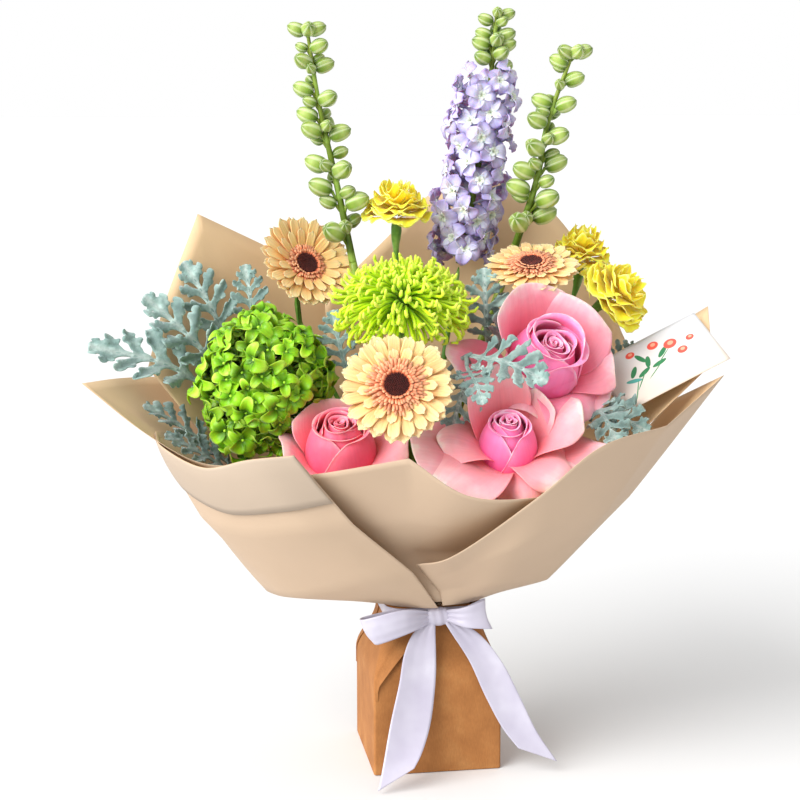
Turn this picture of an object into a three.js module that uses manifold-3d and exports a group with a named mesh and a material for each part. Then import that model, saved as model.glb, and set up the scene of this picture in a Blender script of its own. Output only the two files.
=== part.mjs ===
// A mixed flower bouquet, wrapped in seven sheets of matt paper and standing in a kraft-card carry box
// whose neck is tied with a satin ribbon. Millimetres, +Z up. The origin is the middle of the box's floor,
// and the box's front wall faces -Y. Flowers and paper sit in a frame turned a little about Z: in it +X is
// the bouquet's right, -Y its front.
import * as THREE from 'three';
import { ConvexGeometry } from 'three/addons/geometries/ConvexGeometry.js';
import { mergeVertices } from 'three/addons/utils/BufferGeometryUtils.js';
import Module from 'manifold-3d';

const wasm = await Module();
wasm.setup();

// ---- Driving dimensions ----
const BOUQUET_TURN = THREE.MathUtils.degToRad(-9); // the bouquet is turned this much on its box
const GAP = 0.35; // air between pieces that touch

const BOX_HALF = 58; // half the width of the square carry box
const NECK_HALF = 43; // half the width of its neck
const SHOULDER_HEIGHT = 84; // where the walls begin to lean in
const NECK_HEIGHT = 138; // where the flaps have closed in to the neck
const COLLAR_TOP = 151; // upper edge of the short collar above the ribbon
const BOARD = 1; // thickness of the kraft card

const FILM = 0.7; // water bag
const WATER_LEVEL = 84;
const STEM_FOOT = 9; // height of the cut ends of the stems
const STEM_PITCH = 8.6; // spacing of the stems where they are bound
const TIE_HEIGHT = 138;
const TIE_RADIUS = 31;

const PAPER = 0.8; // a sheet of wrapping paper
const PAPER_FOOT = 121; // the sheets end inside the neck at this height
const PAPER_FLARE_RADIUS = 62; // just past the collar, where the sheets have turned outward

const RIBBON = 0.8;
const PETAL = 0.7;
const LEAF = 0.8;

const COLOURS = {
  kraft: 0xb87a42,
  paper: 0xd9c0a2,
  card: 0xf4f1ec,
  satin: 0xe6e2ee,
  film: 0xdfe8ea,
  water: 0xbfd8dc,
  twine: 0x9c8a62,
  stem: 0x3f7a2a,
  rose: 0xf67ba8,
  roseDeep: 0xe8477c,
  peach: 0xfdcb86,
  coral: 0xf08a5c,
  eye: 0x3a0a08,
  lime: 0xa8d60c,
  hydrangea: 0x7cc51a,
  carnation: 0xf2dc1e,
  bud: 0xa9c27f,
  lilac: 0xb9a8e0,
  dustyMiller: 0x8fa9a0,
};

// ---- Small tools ----
const v3 = (x, y, z) => new THREE.Vector3(x, y, z);
const radians = THREE.MathUtils.degToRad;
const mix = THREE.MathUtils.lerp;
const GOLDEN_ANGLE = Math.PI * (3 - Math.sqrt(5));

function seededRandom(seed) {
  let state = seed;
  return () => {
    state = (Math.imul(state, 1664525) + 1013904223) >>> 0;
    return state / 4294967296;
  };
}

// A geometry from corner points and the triangles between them.
function geometryOf(points, triangles) {
  const geometry = new THREE.BufferGeometry();
  geometry.setAttribute('position', new THREE.Float32BufferAttribute(points.flatMap((p) => p.toArray()), 3));
  geometry.setIndex(triangles.flat());
  return geometry;
}

// A geometry as a closed solid that can be joined and cut.
function solidOf(geometry) {
  const bare = geometry.clone();
  bare.deleteAttribute('normal');
  bare.deleteAttribute('uv');
  const merged = mergeVertices(bare, 1e-4);
  const index = Array.from(merged.index.array);
  const kept = [];
  for (let i = 0; i < index.length; i += 3) {
    const [a, b, c] = index.slice(i, i + 3);
    if (a !== b && b !== c && c !== a) kept.push(a, b, c);
  }
  const vertProperties = Float32Array.from(merged.attributes.position.array);
  return new wasm.Manifold(new wasm.Mesh({ numProp: 3, vertProperties, triVerts: Uint32Array.from(kept) }));
}

function geometryFrom(manifold) {
  const mesh = manifold.getMesh();
  const geometry = new THREE.BufferGeometry();
  geometry.setAttribute('position', new THREE.BufferAttribute(Float32Array.from(mesh.vertProperties), 3));
  geometry.setIndex(Array.from(mesh.triVerts));
  return geometry;
}

// Geometries joined into one body.
function fused(geometries) {
  return geometryFrom(geometries.map(solidOf).reduce((whole, piece) => whole.add(piece)));
}

function cut(geometry, tools) {
  return geometryFrom(tools.map(solidOf).reduce((whole, tool) => whole.subtract(tool), solidOf(geometry)));
}

// A thin blade: pointAt(u, v) gives its middle surface for u and v from 0 to 1. Both faces are split alike.
function blade(pointAt, columns, rows, thickness) {
  const middle = [];
  for (let j = 0; j <= rows; j += 1) {
    for (let i = 0; i <= columns; i += 1) middle.push(pointAt(i / columns, j / rows));
  }
  const at = (i, j) => middle[j * (columns + 1) + i];
  const front = [];
  const back = [];
  for (let j = 0; j <= rows; j += 1) {
    for (let i = 0; i <= columns; i += 1) {
      const across = at(Math.min(i + 1, columns), j).clone().sub(at(Math.max(i - 1, 0), j));
      const along = at(i, Math.min(j + 1, rows)).clone().sub(at(i, Math.max(j - 1, 0)));
      const normal = across.cross(along).normalize().multiplyScalar(thickness / 2);
      front.push(at(i, j).clone().add(normal));
      back.push(at(i, j).clone().sub(normal));
    }
  }
  const count = front.length;
  const id = (i, j) => j * (columns + 1) + i;
  const faces = [];
  const wall = (p, q) => faces.push([q, p, p + count], [q, p + count, q + count]);
  for (let j = 0; j < rows; j += 1) {
    for (let i = 0; i < columns; i += 1) {
      const [a, b, c, d] = [id(i, j), id(i + 1, j), id(i + 1, j + 1), id(i, j + 1)];
      faces.push([a, b, c], [a, c, d]);
      faces.push([a + count, c + count, b + count], [a + count, d + count, c + count]);
    }
  }
  for (let i = 0; i < columns; i += 1) {
    wall(id(i, 0), id(i + 1, 0));
    wall(id(i + 1, rows), id(i, rows));
  }
  for (let j = 0; j < rows; j += 1) {
    wall(id(0, j + 1), id(0, j));
    wall(id(columns, j), id(columns, j + 1));
  }
  return geometryOf([...front, ...back], faces);
}

// A solid rod through the points, with a radius at each and flat ends. A fixed guide keeps it untwisted.
function rod(points, radii, sides, guide = v3(0, 0, 1), turn = 0) {
  const corners = [];
  const faces = [];
  let normal = guide.clone();
  points.forEach((point, k) => {
    const before = points[Math.max(k - 1, 0)];
    const after = points[Math.min(k + 1, points.length - 1)];
    const travel = after.clone().sub(before).normalize();
    normal = normal.clone().addScaledVector(travel, -normal.dot(travel)).normalize();
    const side = travel.clone().cross(normal);
    for (let s = 0; s < sides; s += 1) {
      const angle = (2 * Math.PI * s) / sides + turn;
      corners.push(point.clone()
        .addScaledVector(normal, radii[k] * Math.cos(angle))
        .addScaledVector(side, radii[k] * Math.sin(angle)));
    }
  });
  for (let k = 0; k < points.length - 1; k += 1) {
    for (let s = 0; s < sides; s += 1) {
      const [a, b] = [k * sides + s, k * sides + ((s + 1) % sides)];
      faces.push([a, b, b + sides], [a, b + sides, a + sides]);
    }
  }
  const last = (points.length - 1) * sides;
  for (let s = 1; s < sides - 1; s += 1) {
    faces.push([0, s + 1, s]);
    faces.push([last, last + s, last + s + 1]);
  }
  return geometryOf(corners, faces);
}

// A turned solid about +Z: [radius, height] pairs, from the axis at the bottom to the axis at the top.
function turned(profile, sides) {
  const outline = profile.map(([r, z]) => new THREE.Vector2(r, z));
  return new THREE.LatheGeometry(outline, sides).rotateX(Math.PI / 2);
}

// The corners and facets of the convex hull of some points.
function hullOf(points) {
  const hull = new ConvexGeometry(points);
  hull.deleteAttribute('normal');
  const merged = mergeVertices(hull, 1e-4);
  const position = merged.attributes.position;
  const corners = Array.from({ length: position.count }, (_, k) => v3().fromBufferAttribute(position, k));
  const index = Array.from(merged.index.array);
  const facets = Array.from({ length: index.length / 3 }, (_, k) => index.slice(3 * k, 3 * k + 3));
  return { corners, facets };
}

// A closed body grown from a faceted core: each facet is drawn out through rings of points, as a petal, a
// ray or a quill. Facets and rings run counter-clockwise seen from outside. A facet may stay as it is.
function drawnOut(corners, facets, grow) {
  const points = [...corners];
  const faces = [];
  facets.forEach((facet, k) => {
    let ring = facet;
    const { rings = [], tip } = grow(facet.map((i) => corners[i]), k) ?? {};
    for (const next of rings) {
      const ids = next.map((_, i) => points.length + i);
      points.push(...next);
      let [i, j] = [0, 0];
      while (i < ring.length || j < ids.length) {
        const [a, b] = [ring[i % ring.length], ids[j % ids.length]];
        if (ring.length === ids.length && i >= ring.length / 2) {
          // The back face of a thin petal is split like its front.
          faces.push([a, ring[(i + 1) % ring.length], b]);
          faces.push([ring[(i + 1) % ring.length], ids[(j + 1) % ids.length], b]);
          i += 1;
          j += 1;
        } else if (j < ids.length && (j + 1) / ids.length <= (i + 1) / ring.length) {
          faces.push([a, ids[(j + 1) % ids.length], b]);
          j += 1;
        } else {
          faces.push([a, ring[(i + 1) % ring.length], b]);
          i += 1;
        }
      }
      ring = ids;
    }
    if (tip) {
      points.push(tip);
      ring.forEach((id, i) => faces.push([id, ring[(i + 1) % ring.length], points.length - 1]));
    } else {
      // The end is closed by a strip from one face to the other.
      const last = ring.length - 1;
      for (let i = 0; i < last - i; i += 1) {
        if (i + 1 < last - i) faces.push([ring[i], ring[i + 1], ring[last - i]]);
        if (i + 1 < last - i - 1) faces.push([ring[i + 1], ring[last - i - 1], ring[last - i]]);
      }
    }
  });
  return geometryOf(points, faces);
}

// The turn that points a head's own +Z along its facing.
function facingTurn(facing) {
  return new THREE.Quaternion().setFromUnitVectors(v3(0, 0, 1), facing.clone().normalize());
}

const materials = {};
function materialOf(colour, roughness = 0.7) {
  materials[colour] ??= new THREE.MeshStandardMaterial({ color: COLOURS[colour], roughness, metalness: 0 });
  return materials[colour].clone();
}

function part(group, name, geometry, colour) {
  const mesh = new THREE.Mesh(geometry, materialOf(colour));
  mesh.name = name;
  group.add(mesh);
  return mesh;
}

const bouquet = new THREE.Group();
const arrangement = new THREE.Group();
arrangement.rotation.z = BOUQUET_TURN;
bouquet.add(arrangement);

// ---- Carry box ----
// A level ring of the box: a square of the given half width with rounded corners, two facets to a corner.
const BOX_CORNER_FACETS = 2;
function squareRing(half, corner, z) {
  const ring = [];
  const centre = half - corner;
  for (let q = 0; q < 4; q += 1) {
    for (let s = 0; s <= BOX_CORNER_FACETS; s += 1) {
      const angle = (q + s / BOX_CORNER_FACETS) * (Math.PI / 2);
      const [cx, cy] = [[1, 1], [-1, 1], [-1, -1], [1, -1]][q];
      ring.push(v3(cx * centre + corner * Math.cos(angle), cy * centre + corner * Math.sin(angle), z));
    }
    const [nx, ny] = [[0, 1], [-1, 0], [0, -1], [1, 0]][q];
    ring.push(v3(nx * half, ny * half, z)); // the middle of each wall
  }
  return ring;
}

function stackedRings(rings) {
  const sides = rings[0].length;
  const faces = [];
  for (let k = 0; k < rings.length - 1; k += 1) {
    for (let s = 0; s < sides; s += 1) {
      const [a, b] = [k * sides + s, k * sides + ((s + 1) % sides)];
      faces.push([a, b, b + sides], [a, b + sides, a + sides]);
    }
  }
  const last = (rings.length - 1) * sides;
  for (let s = 1; s < sides - 1; s += 1) {
    faces.push([0, s + 1, s]);
    faces.push([last, last + s, last + s + 1]);
  }
  return geometryOf(rings.flat(), faces);
}

// Half width of the box at a height: straight walls, a smooth lean to the neck, then a straight collar.
function boxHalfAt(z) {
  const lean = THREE.MathUtils.smoothstep(z, SHOULDER_HEIGHT, NECK_HEIGHT);
  return mix(BOX_HALF, NECK_HALF, lean);
}

function boxCornerAt(z) {
  return mix(2, 16, THREE.MathUtils.smoothstep(z, SHOULDER_HEIGHT, NECK_HEIGHT));
}

const BOX_LEVELS = [0, SHOULDER_HEIGHT, 102, 120, NECK_HEIGHT, COLLAR_TOP];

function carryBox() {
  const outer = BOX_LEVELS.map((z) => squareRing(boxHalfAt(z), boxCornerAt(z), z));
  const inner = BOX_LEVELS.map((z, k) => {
    const height = k === 0 ? BOARD : z;
    return squareRing(boxHalfAt(z) - BOARD, Math.max(boxCornerAt(z) - BOARD, 1), height);
  });
  inner[inner.length - 1].forEach((p) => p.setZ(COLLAR_TOP + 1));
  const shell = cut(stackedRings(outer), [stackedRings(inner)]);
  return fused([shell, ...[0, 1, 2, 3].map(flapOverlap)]);
}

// Each flap laps round a corner on to the next wall, as in a pinwheel. Its free edge is a curve from the
// corner at the foot of the lean up to the neck.
const FLAP_LEVELS = [74, SHOULDER_HEIGHT, 102, 120, NECK_HEIGHT - 1];
function flapOverlap(quarter) {
  const overlap = blade((u, v) => {
    const z = FLAP_LEVELS[Math.round(v * (FLAP_LEVELS.length - 1))];
    const edge = mix(-1, 0.15, Math.sin((v * Math.PI) / 2) ** 1.15) * boxHalfAt(z);
    const start = -boxHalfAt(z) + boxCornerAt(z);
    return v3(mix(start, Math.max(edge, start + 1.2), u), -boxHalfAt(z) - 0.25, z);
  }, 1, FLAP_LEVELS.length - 1, 1.3);
  return overlap.rotateZ((quarter * Math.PI) / 2);
}

part(bouquet, 'carry_box', carryBox(), 'kraft');

// ---- Stems: where they stand, and their water ----
// Places on a hexagonal grid inside the tie. Each stem takes the free place nearest its flower's bearing.
const stemPlaces = [];
for (let row = -4; row <= 4; row += 1) {
  for (let column = -4; column <= 4; column += 1) {
    const x = (column + row / 2) * STEM_PITCH;
    const y = row * STEM_PITCH * Math.sin(Math.PI / 3);
    if (Math.hypot(x, y) < 26.2) stemPlaces.push({ x, y, radius: 0 });
  }
}

const STEM_SPREAD = 240; // a flower this far out takes a place at the edge of the bunch
function takePlace(head, radius, sides, near) {
  const reach = Math.min(Math.hypot(head.x, head.y) / STEM_SPREAD, 1) * 26;
  const bearing = Math.atan2(head.y, head.x);
  const wanted = near ? v3(...near, 0) : v3(reach * Math.cos(bearing), reach * Math.sin(bearing), 0);
  const free = stemPlaces.filter((place) => place.radius === 0);
  const gapTo = (place) => Math.hypot(place.x - wanted.x, place.y - wanted.y);
  const chosen = free.reduce((best, place) => (gapTo(place) < gapTo(best) ? place : best));
  chosen.radius = radius;
  chosen.sides = sides;
  return chosen;
}

const STEM_SIDES = 5;
const STEM_STEPS = 4;
const BOUND_HEIGHT = 158; // above this the stems spread

// The line of a stem: straight up through the tie, then a curve that meets its head square.
function stemLine(place, end, arrival, ease = 0.42) {
  const start = v3(place.x, place.y, BOUND_HEIGHT);
  const span = start.distanceTo(end);
  const curve = new THREE.CubicBezierCurve3(
    start,
    start.clone().add(v3(place.x * 0.3, place.y * 0.3, span * ease)),
    end.clone().addScaledVector(arrival.clone().normalize(), -span * 0.3),
    end,
  );
  return [v3(place.x, place.y, STEM_FOOT), ...curve.getPoints(STEM_STEPS)];
}

function stemTo(end, arrival, radius, tipRadius = radius, { ease, near, sides = STEM_SIDES } = {}) {
  const line = stemLine(takePlace(end, radius, sides, near), end, arrival, ease);
  const radii = line.map((point, k) => mix(radius, tipRadius, Math.max(0, (k - 1) / (line.length - 2))));
  return rod(line, radii, sides, v3(1, 0, 0));
}

// A stem that swells into the green cup under its head. "swell" lists [distance below the head, radius].
function cuppedStem(end, facing, radius, swell, { ease, near } = {}) {
  const up = facing.clone().normalize();
  const top = end.clone().addScaledVector(up, -GAP);
  const foot = top.clone().addScaledVector(up, -swell[0][0]);
  const line = stemLine(takePlace(end, radius, STEM_SIDES, near), foot, up, ease);
  const radii = line.map(() => radius);
  radii[radii.length - 1] = swell[0][1];
  for (const [below, wide] of swell.slice(1)) {
    line.push(top.clone().addScaledVector(up, -below));
    radii.push(wide);
  }
  return rod(line, radii, STEM_SIDES, v3(1, 0, 0));
}

// ---- Rose ----
// The core is a stack of rings in brick bond: each of its six-cornered facets is drawn out into one petal.
// A petal's edges slide past its neighbours' as in a spiral, and its rim rolls outward by its curl.
const PETALS_ROUND = 5;

// One side of each petal lies outside its neighbour and the other side inside the next one.
function rosePetalPoint({ radius, height, curl, rim, reach, half }, bearing, root, turn, u, row) {
  const side = 2 * u - 1;
  const profile = [[7, root], [mix(7, radius, 0.78), mix(root, height, 0.24)],
    [radius, mix(root, height, 0.66)], [radius + curl * reach, height - rim]];
  const spread = [half * 0.5, Math.min(half * 0.85, 35), half, half * 0.84][row];
  const angle = radians(bearing + side * spread) + turn;
  const [before, after] = [profile[Math.max(row - 1, 0)], profile[Math.min(row + 1, 3)]];
  const along = Math.hypot(after[0] - before[0], after[1] - before[1]);
  const slide = ((radius * 0.06 + 1.3) * side) / along;
  const r = profile[row][0] + (after[1] - before[1]) * slide;
  const z = profile[row][1] - (after[0] - before[0]) * slide - height * 0.022 * side * side * row;
  return v3(r * Math.cos(angle), r * Math.sin(angle), z);
}

function roseBloom(layers, turn = 0) {
  const corners = [];
  const facets = [];
  const ringSize = 2 * PETALS_ROUND;
  const shapes = [];
  for (let k = 0; k <= layers.length; k += 1) {
    const r = mix(9, 5.5, k / layers.length);
    for (let i = 0; i < ringSize; i += 1) {
      const angle = (2 * Math.PI * (i + k)) / ringSize + turn;
      corners.push(v3(r * Math.cos(angle), r * Math.sin(angle), 0.6 + k * 4.5));
    }
  }
  const id = (k, i) => k * ringSize + ((i - k + 2 * ringSize) % ringSize);
  layers.forEach((layer, k) => {
    for (let p = 0; p < PETALS_ROUND; p += 1) {
      const i = 2 * p + k;
      facets.push([id(k, i), id(k, i + 1), id(k, i + 2), id(k + 1, i + 2), id(k + 1, i + 1), id(k + 1, i)]);
      const bearing = (360 * (i + 1)) / ringSize;
      shapes.push({ ...layer, bearing, root: 3 + k * 4.5, reach: (layer.reaches ?? [])[p] ?? 1 });
    }
  });
  facets.push(Array.from({ length: ringSize }, (_, i) => ringSize - 1 - i));
  facets.push(Array.from({ length: ringSize }, (_, i) => layers.length * ringSize + i));
  const bud = layers[layers.length - 1];
  return drawnOut(corners, facets, (facet, k) => {
    if (k === facets.length - 2) return null;
    if (k === facets.length - 1) {
      const around = (r, z) => facet.map((p, i) => {
        const angle = Math.atan2(p.y, p.x);
        return v3((r + (i % 2)) * Math.cos(angle), (r + (i % 2)) * Math.sin(angle), z + (i % 3));
      });
      return { rings: [around(bud.radius * 0.62, bud.height * 0.7), around(bud.radius * 0.4, bud.height + 1)] };
    }
    const shape = shapes[k];
    const rings = [1, 2, 3].map((row) => {
      const at = (u, below = 0) => rosePetalPoint(shape, shape.bearing, shape.root, turn, u, row - below);
      const normal = at(1).sub(at(0)).cross(at(0.5).sub(at(0.5, 1))).normalize().multiplyScalar(PETAL / 2);
      const outside = [0, 0.5, 1].map((u) => at(u).add(normal));
      const inside = [1, 0.5, 0].map((u) => at(u).sub(normal));
      return [...outside, ...inside];
    });
    return { rings };
  });
}

const TIGHT_ROSE = [
  { half: 43, radius: 33, height: 33, curl: 11, rim: 10 },
  { half: 45, radius: 25, height: 37, curl: 6, rim: 3 },
  { half: 44, radius: 17, height: 39, curl: 1, rim: 0 },
];

const OPEN_ROSE = [
  { half: 43, radius: 37, height: 35, curl: 15, rim: 13 },
  { half: 45, radius: 29, height: 40, curl: 9, rim: 6 },
  { half: 44, radius: 21.5, height: 43, curl: 3, rim: 1 },
  { half: 43, radius: 14.5, height: 44, curl: 0, rim: 0 },
];

const REFLEXED_ROSE = [
  { half: 40, radius: 45, height: 20, curl: 33, rim: 18, reaches: [0.5, 0.35, 0.95, 0.4, 0.5] },
  { half: 43, radius: 35, height: 32, curl: 22, rim: 13, reaches: [0.3, 1.5, 1.2, 1, 0.9] },
  { half: 46, radius: 25, height: 39, curl: 8, rim: 3 },
  { half: 43, radius: 16, height: 42, curl: 0, rim: 0 },
];

const roses = [
  { name: 'rose_left', layers: TIGHT_ROSE, base: v3(-75, -72, 299), facing: v3(-0.15, -0.72, 0.68),
    near: [-12.9, -7.4] },
  { name: 'rose_front', layers: REFLEXED_ROSE, base: v3(64, -80, 310), facing: v3(0.06, -0.8, 0.6),
    near: [8.6, -14.9] },
  { name: 'rose_right', layers: OPEN_ROSE, base: v3(109, -26, 366), facing: v3(0.15, -0.66, 0.74),
    near: [17.2, 0] },
];

for (const { name, layers, base, facing, near } of roses) {
  const bloom = part(arrangement, `${name}_bloom`, roseBloom(layers), 'rose');
  bloom.position.copy(base);
  bloom.quaternion.copy(facingTurn(facing));
  part(arrangement, `${name}_stem`, cuppedStem(base, facing, 3.2, [[11, 3.2], [8, 7], [0, 8.5]], { near }), 'stem');
}

// ---- Gerbera ----
// A thin hub whose two rows of side facets are drawn out into strap-shaped rays, outer and inner. Above it
// stand a crown of short coral florets and a dark eye.
const RAYS_ROUND = 12;
const HUB_HEIGHTS = [0.6, 3.4, 6.2];

function gerberaRays(radius, cup) {
  const hub = radius * 0.2;
  const corners = HUB_HEIGHTS.flatMap((z, row) => Array.from({ length: RAYS_ROUND }, (_, k) => {
    const angle = (2 * Math.PI * (k + row / 2)) / RAYS_ROUND;
    return v3(hub * Math.cos(angle), hub * Math.sin(angle), z);
  }));
  const facets = [];
  for (let row = 0; row < 2; row += 1) {
    for (let k = 0; k < RAYS_ROUND; k += 1) {
      const next = (k + 1) % RAYS_ROUND;
      const [low, high] = [row * RAYS_ROUND, (row + 1) * RAYS_ROUND];
      facets.push([low + k, low + next, high + next, high + k]);
    }
  }
  facets.push(Array.from({ length: RAYS_ROUND }, (_, k) => RAYS_ROUND - 1 - k));
  facets.push(Array.from({ length: RAYS_ROUND }, (_, k) => 2 * RAYS_ROUND + k));
  return drawnOut(corners, facets, (facet, k) => {
    if (k >= 2 * RAYS_ROUND) return null;
    const row = k < RAYS_ROUND ? 0 : 1;
    const middle = facet.reduce((sum, p) => sum.add(p), v3(0, 0, 0)).divideScalar(4);
    const bearing = Math.atan2(middle.y, middle.x);
    const tipRadius = radius * (row ? 0.8 : 1) * (k % 3 ? 1 : 0.95);
    const section = (r, width) => {
      const z = middle.z + (r - hub) * (cup + row * 0.09);
      const at = (side, rise) => v3(
        r * Math.cos(bearing) - side * Math.sin(bearing),
        r * Math.sin(bearing) + side * Math.cos(bearing), z + rise + side * 0.1);
      return [at(-width / 2, -PETAL / 2), at(width / 2, -PETAL / 2), at(width / 2, PETAL / 2),
        at(-width / 2, PETAL / 2)];
    };
    return { rings: [section(tipRadius * 0.66, tipRadius * 0.33), section(tipRadius, tipRadius * 0.15)] };
  });
}

// A toothed ring: short florets side by side.
const CROWN_TEETH = 10;
function gerberaCrown(radius) {
  const points = [];
  const faces = [];
  const count = CROWN_TEETH * 2;
  for (let k = 0; k < count; k += 1) {
    const angle = (2 * Math.PI * k) / count;
    const long = k % 2 === 0;
    const profile = [[0.15, 0], [0.19, 0], [long ? 0.37 : 0.27, long ? 4.6 : 2.4], [0.19, 3.2]];
    for (const [r, z] of profile) points.push(v3(radius * r * Math.cos(angle), radius * r * Math.sin(angle), z));
    const next = (k + 1) % count;
    for (let i = 0; i < 4; i += 1) {
      const j = (i + 1) % 4;
      faces.push([4 * k + i, 4 * next + i, 4 * next + j], [4 * k + i, 4 * next + j, 4 * k + j]);
    }
  }
  return geometryOf(points, faces);
}

function gerberaEye(radius) {
  return turned([[0, 0], [radius * 0.13, 0], [radius * 0.13, 1.8], [radius * 0.1, 3.4], [0, 3]], 7);
}

const gerberas = [
  { name: 'gerbera_front', radius: 50, cup: 0.0, base: v3(-28, -123, 362.5), facing: v3(0, -0.857, 0.515) },
  { name: 'gerbera_left', radius: 48, cup: 0.2, base: v3(-113, 42, 447), facing: v3(0.58, -0.62, 0.53) },
  { name: 'gerbera_right', radius: 45, cup: 0.04, base: v3(93, 8, 447), facing: v3(-0.05, -0.38, 0.92),
    near: [8.6, 0] },
];

for (const { name, radius, cup, base, facing, near } of gerberas) {
  const above = HUB_HEIGHTS[2] + GAP;
  const pieces = [
    part(arrangement, `${name}_rays`, gerberaRays(radius, cup), 'peach'),
    part(arrangement, `${name}_crown`, gerberaCrown(radius).translate(0, 0, above), 'coral'),
    part(arrangement, `${name}_eye`, gerberaEye(radius).translate(0, 0, above), 'eye'),
  ];
  for (const piece of pieces) {
    piece.position.copy(base);
    piece.quaternion.copy(facingTurn(facing));
  }
  part(arrangement, `${name}_stem`, cuppedStem(base, facing, 2.7, [[7, 2.7], [0, 8]], { near }), 'stem');
}

// ---- Spider chrysanthemum ----
// Each facet of a small round core is drawn out into a quilled floret: short and upright at the crown, long
// and drooping round the outside.
const QUILL_CORNERS = 55;
const MUM_CORE = 15;
function goldenPoints(count, radii) {
  return Array.from({ length: count }, (_, k) => {
    const height = 1 - (2 * (k + 0.5)) / count;
    const ring = Math.sqrt(1 - height * height);
    return v3(ring * Math.cos(k * GOLDEN_ANGLE), ring * Math.sin(k * GOLDEN_ANGLE), height).multiply(radii);
  });
}

function quilledBloom() {
  const random = seededRandom(7);
  const { corners, facets } = hullOf(goldenPoints(QUILL_CORNERS, v3(MUM_CORE, MUM_CORE, 12)));
  return drawnOut(corners, facets, (facet) => {
    const centre = facet.reduce((sum, p) => sum.add(p), v3(0, 0, 0)).divideScalar(3);
    const out = centre.clone().normalize();
    const share = Math.acos(out.z) / Math.PI;
    if (share > 0.62) return null;
    const room = out.y < -0.6 ? 0.84 : 1; // the front florets press on the gerbera
    const length = room * mix(26, 64, Math.sin(Math.min(share * 1.9, 1) * Math.PI / 2)) * mix(0.88, 1.04, random());
    const droop = mix(10, -6, Math.min(share / 0.6, 1)) + mix(-3, 3, random());
    const ringAt = (middle, size) => facet.map((p) => (
      p.clone().sub(centre).normalize().multiplyScalar(size).add(middle)));
    const middle = centre.clone().addScaledVector(out, length * 0.42).add(v3(0, 0, 3));
    const end = out.clone().multiplyScalar(length).add(v3(0, 0, droop));
    return { rings: [ringAt(middle, 2.1), ringAt(end, 1.5)] };
  }).translate(0, 0, 12.4);
}

const mumBase = v3(-23, -47, 412);
const mumFacing = v3(0, -0.35, 0.94);
const mumBloom = part(arrangement, 'chrysanthemum_bloom', quilledBloom(), 'lime');
mumBloom.position.copy(mumBase);
mumBloom.quaternion.copy(facingTurn(mumFacing));
part(arrangement, 'chrysanthemum_stem', cuppedStem(mumBase, mumFacing, 3, [[8, 3], [0, 7]]), 'stem');

// ---- Green hydrangea ----
// Each facet of an egg-shaped core is drawn out as a funnel into a shallow four-lobed floret.
// A ring of twelve points: two to each rounded lobe and one in each notch, starting towards "start".
function lobedRing(centre, facing, start, size, cupping, lobes) {
  const first = start.clone().sub(centre);
  first.addScaledVector(facing, -first.dot(facing)).normalize();
  const second = facing.clone().cross(first);
  const ring = [];
  for (let k = 0; k < lobes; k += 1) {
    const middle = (2 * Math.PI * k) / lobes;
    for (const [offset, reach, rise] of [[-0.21, 1, 1], [0.21, 1, 1], [0.5, 0.42, 0.3]]) {
      const angle = middle + (offset * 2 * Math.PI) / lobes;
      ring.push(centre.clone()
        .addScaledVector(first, size * reach * Math.cos(angle))
        .addScaledVector(second, size * reach * Math.sin(angle))
        .addScaledVector(facing, cupping * rise));
    }
  }
  return ring;
}

const HYDRANGEA_FLORETS = 44;
const HYDRANGEA_RADII = v3(56, 44, 64); // to the middle of the florets
const hydrangeaCentre = v3(-146, -38, 350);
const roseLeftCentre = v3(-80, -92, 316);
const stemSide = v3(0.25, 0.45, -0.86); // where the stem enters the head

function hydrangeaHead() {
  const random = seededRandom(11);
  const core = HYDRANGEA_RADII.clone().multiplyScalar(0.66);
  const { corners, facets } = hullOf(goldenPoints(HYDRANGEA_FLORETS / 2 + 2, core));
  return drawnOut(corners, facets, (facet) => {
    const centre = facet.reduce((sum, p) => sum.add(p), v3(0, 0, 0)).divideScalar(3);
    const out = centre.clone().divide(core).normalize();
    const place = out.clone().multiply(HYDRANGEA_RADII).multiplyScalar(mix(0.92, 1.06, random()));
    const facing = out.clone().divide(HYDRANGEA_RADII).normalize();
    if (place.clone().add(hydrangeaCentre).distanceTo(roseLeftCentre) < 60 || out.dot(stemSide) > 0.82) return null;
    const size = mix(10.5, 12.5, random());
    const rim = lobedRing(place, facing, facet[0], size, 4, 4);
    return { rings: [rim], tip: place.clone().addScaledVector(facing, 0.4) };
  });
}

part(arrangement, 'hydrangea_head', hydrangeaHead(), 'hydrangea').position.copy(hydrangeaCentre);

// ---- Carnation ----
// Ruffled layers, one above the other, on one foot. Each row is [radius, height, ruffle]; a layer goes out
// along its underside, over a thin rim and back.
const RUFFLE_COLUMNS = 13;
function carnationBloom(R) {
  const rows = [[4, 0.4, 0], [R, 4, 2.4], [R - 0.3, 5, 2.4], [R * 0.45, 9, 0], [R * 0.88, 11.5, 2.6],
    [R * 0.87, 12.5, 2.6], [R * 0.36, 15.5, 0], [R * 0.66, 18.6, 2.6], [R * 0.65, 19.6, 2.6], [R * 0.24, 20, 0],
    [R * 0.4, 25, 2.2], [R * 0.38, 26, 2.2], [3, 22, 0]];
  const layerTurn = [0, 0, 0, 0.1, 0.22, 0.22, 0.3, 0.45, 0.45, 0.5, 0.6, 0.6, 0.6];
  return stackedRings(rows.map(([radius, height, ruffle], row) => (
    Array.from({ length: RUFFLE_COLUMNS }, (_, k) => {
      const angle = (2 * Math.PI * k) / RUFFLE_COLUMNS + layerTurn[row];
      const sway = (k % 2 ? 1 : -1) * ruffle;
      const r = radius + sway * 0.55;
      return v3(r * Math.cos(angle), r * Math.sin(angle), height + sway);
    }))));
}

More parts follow.
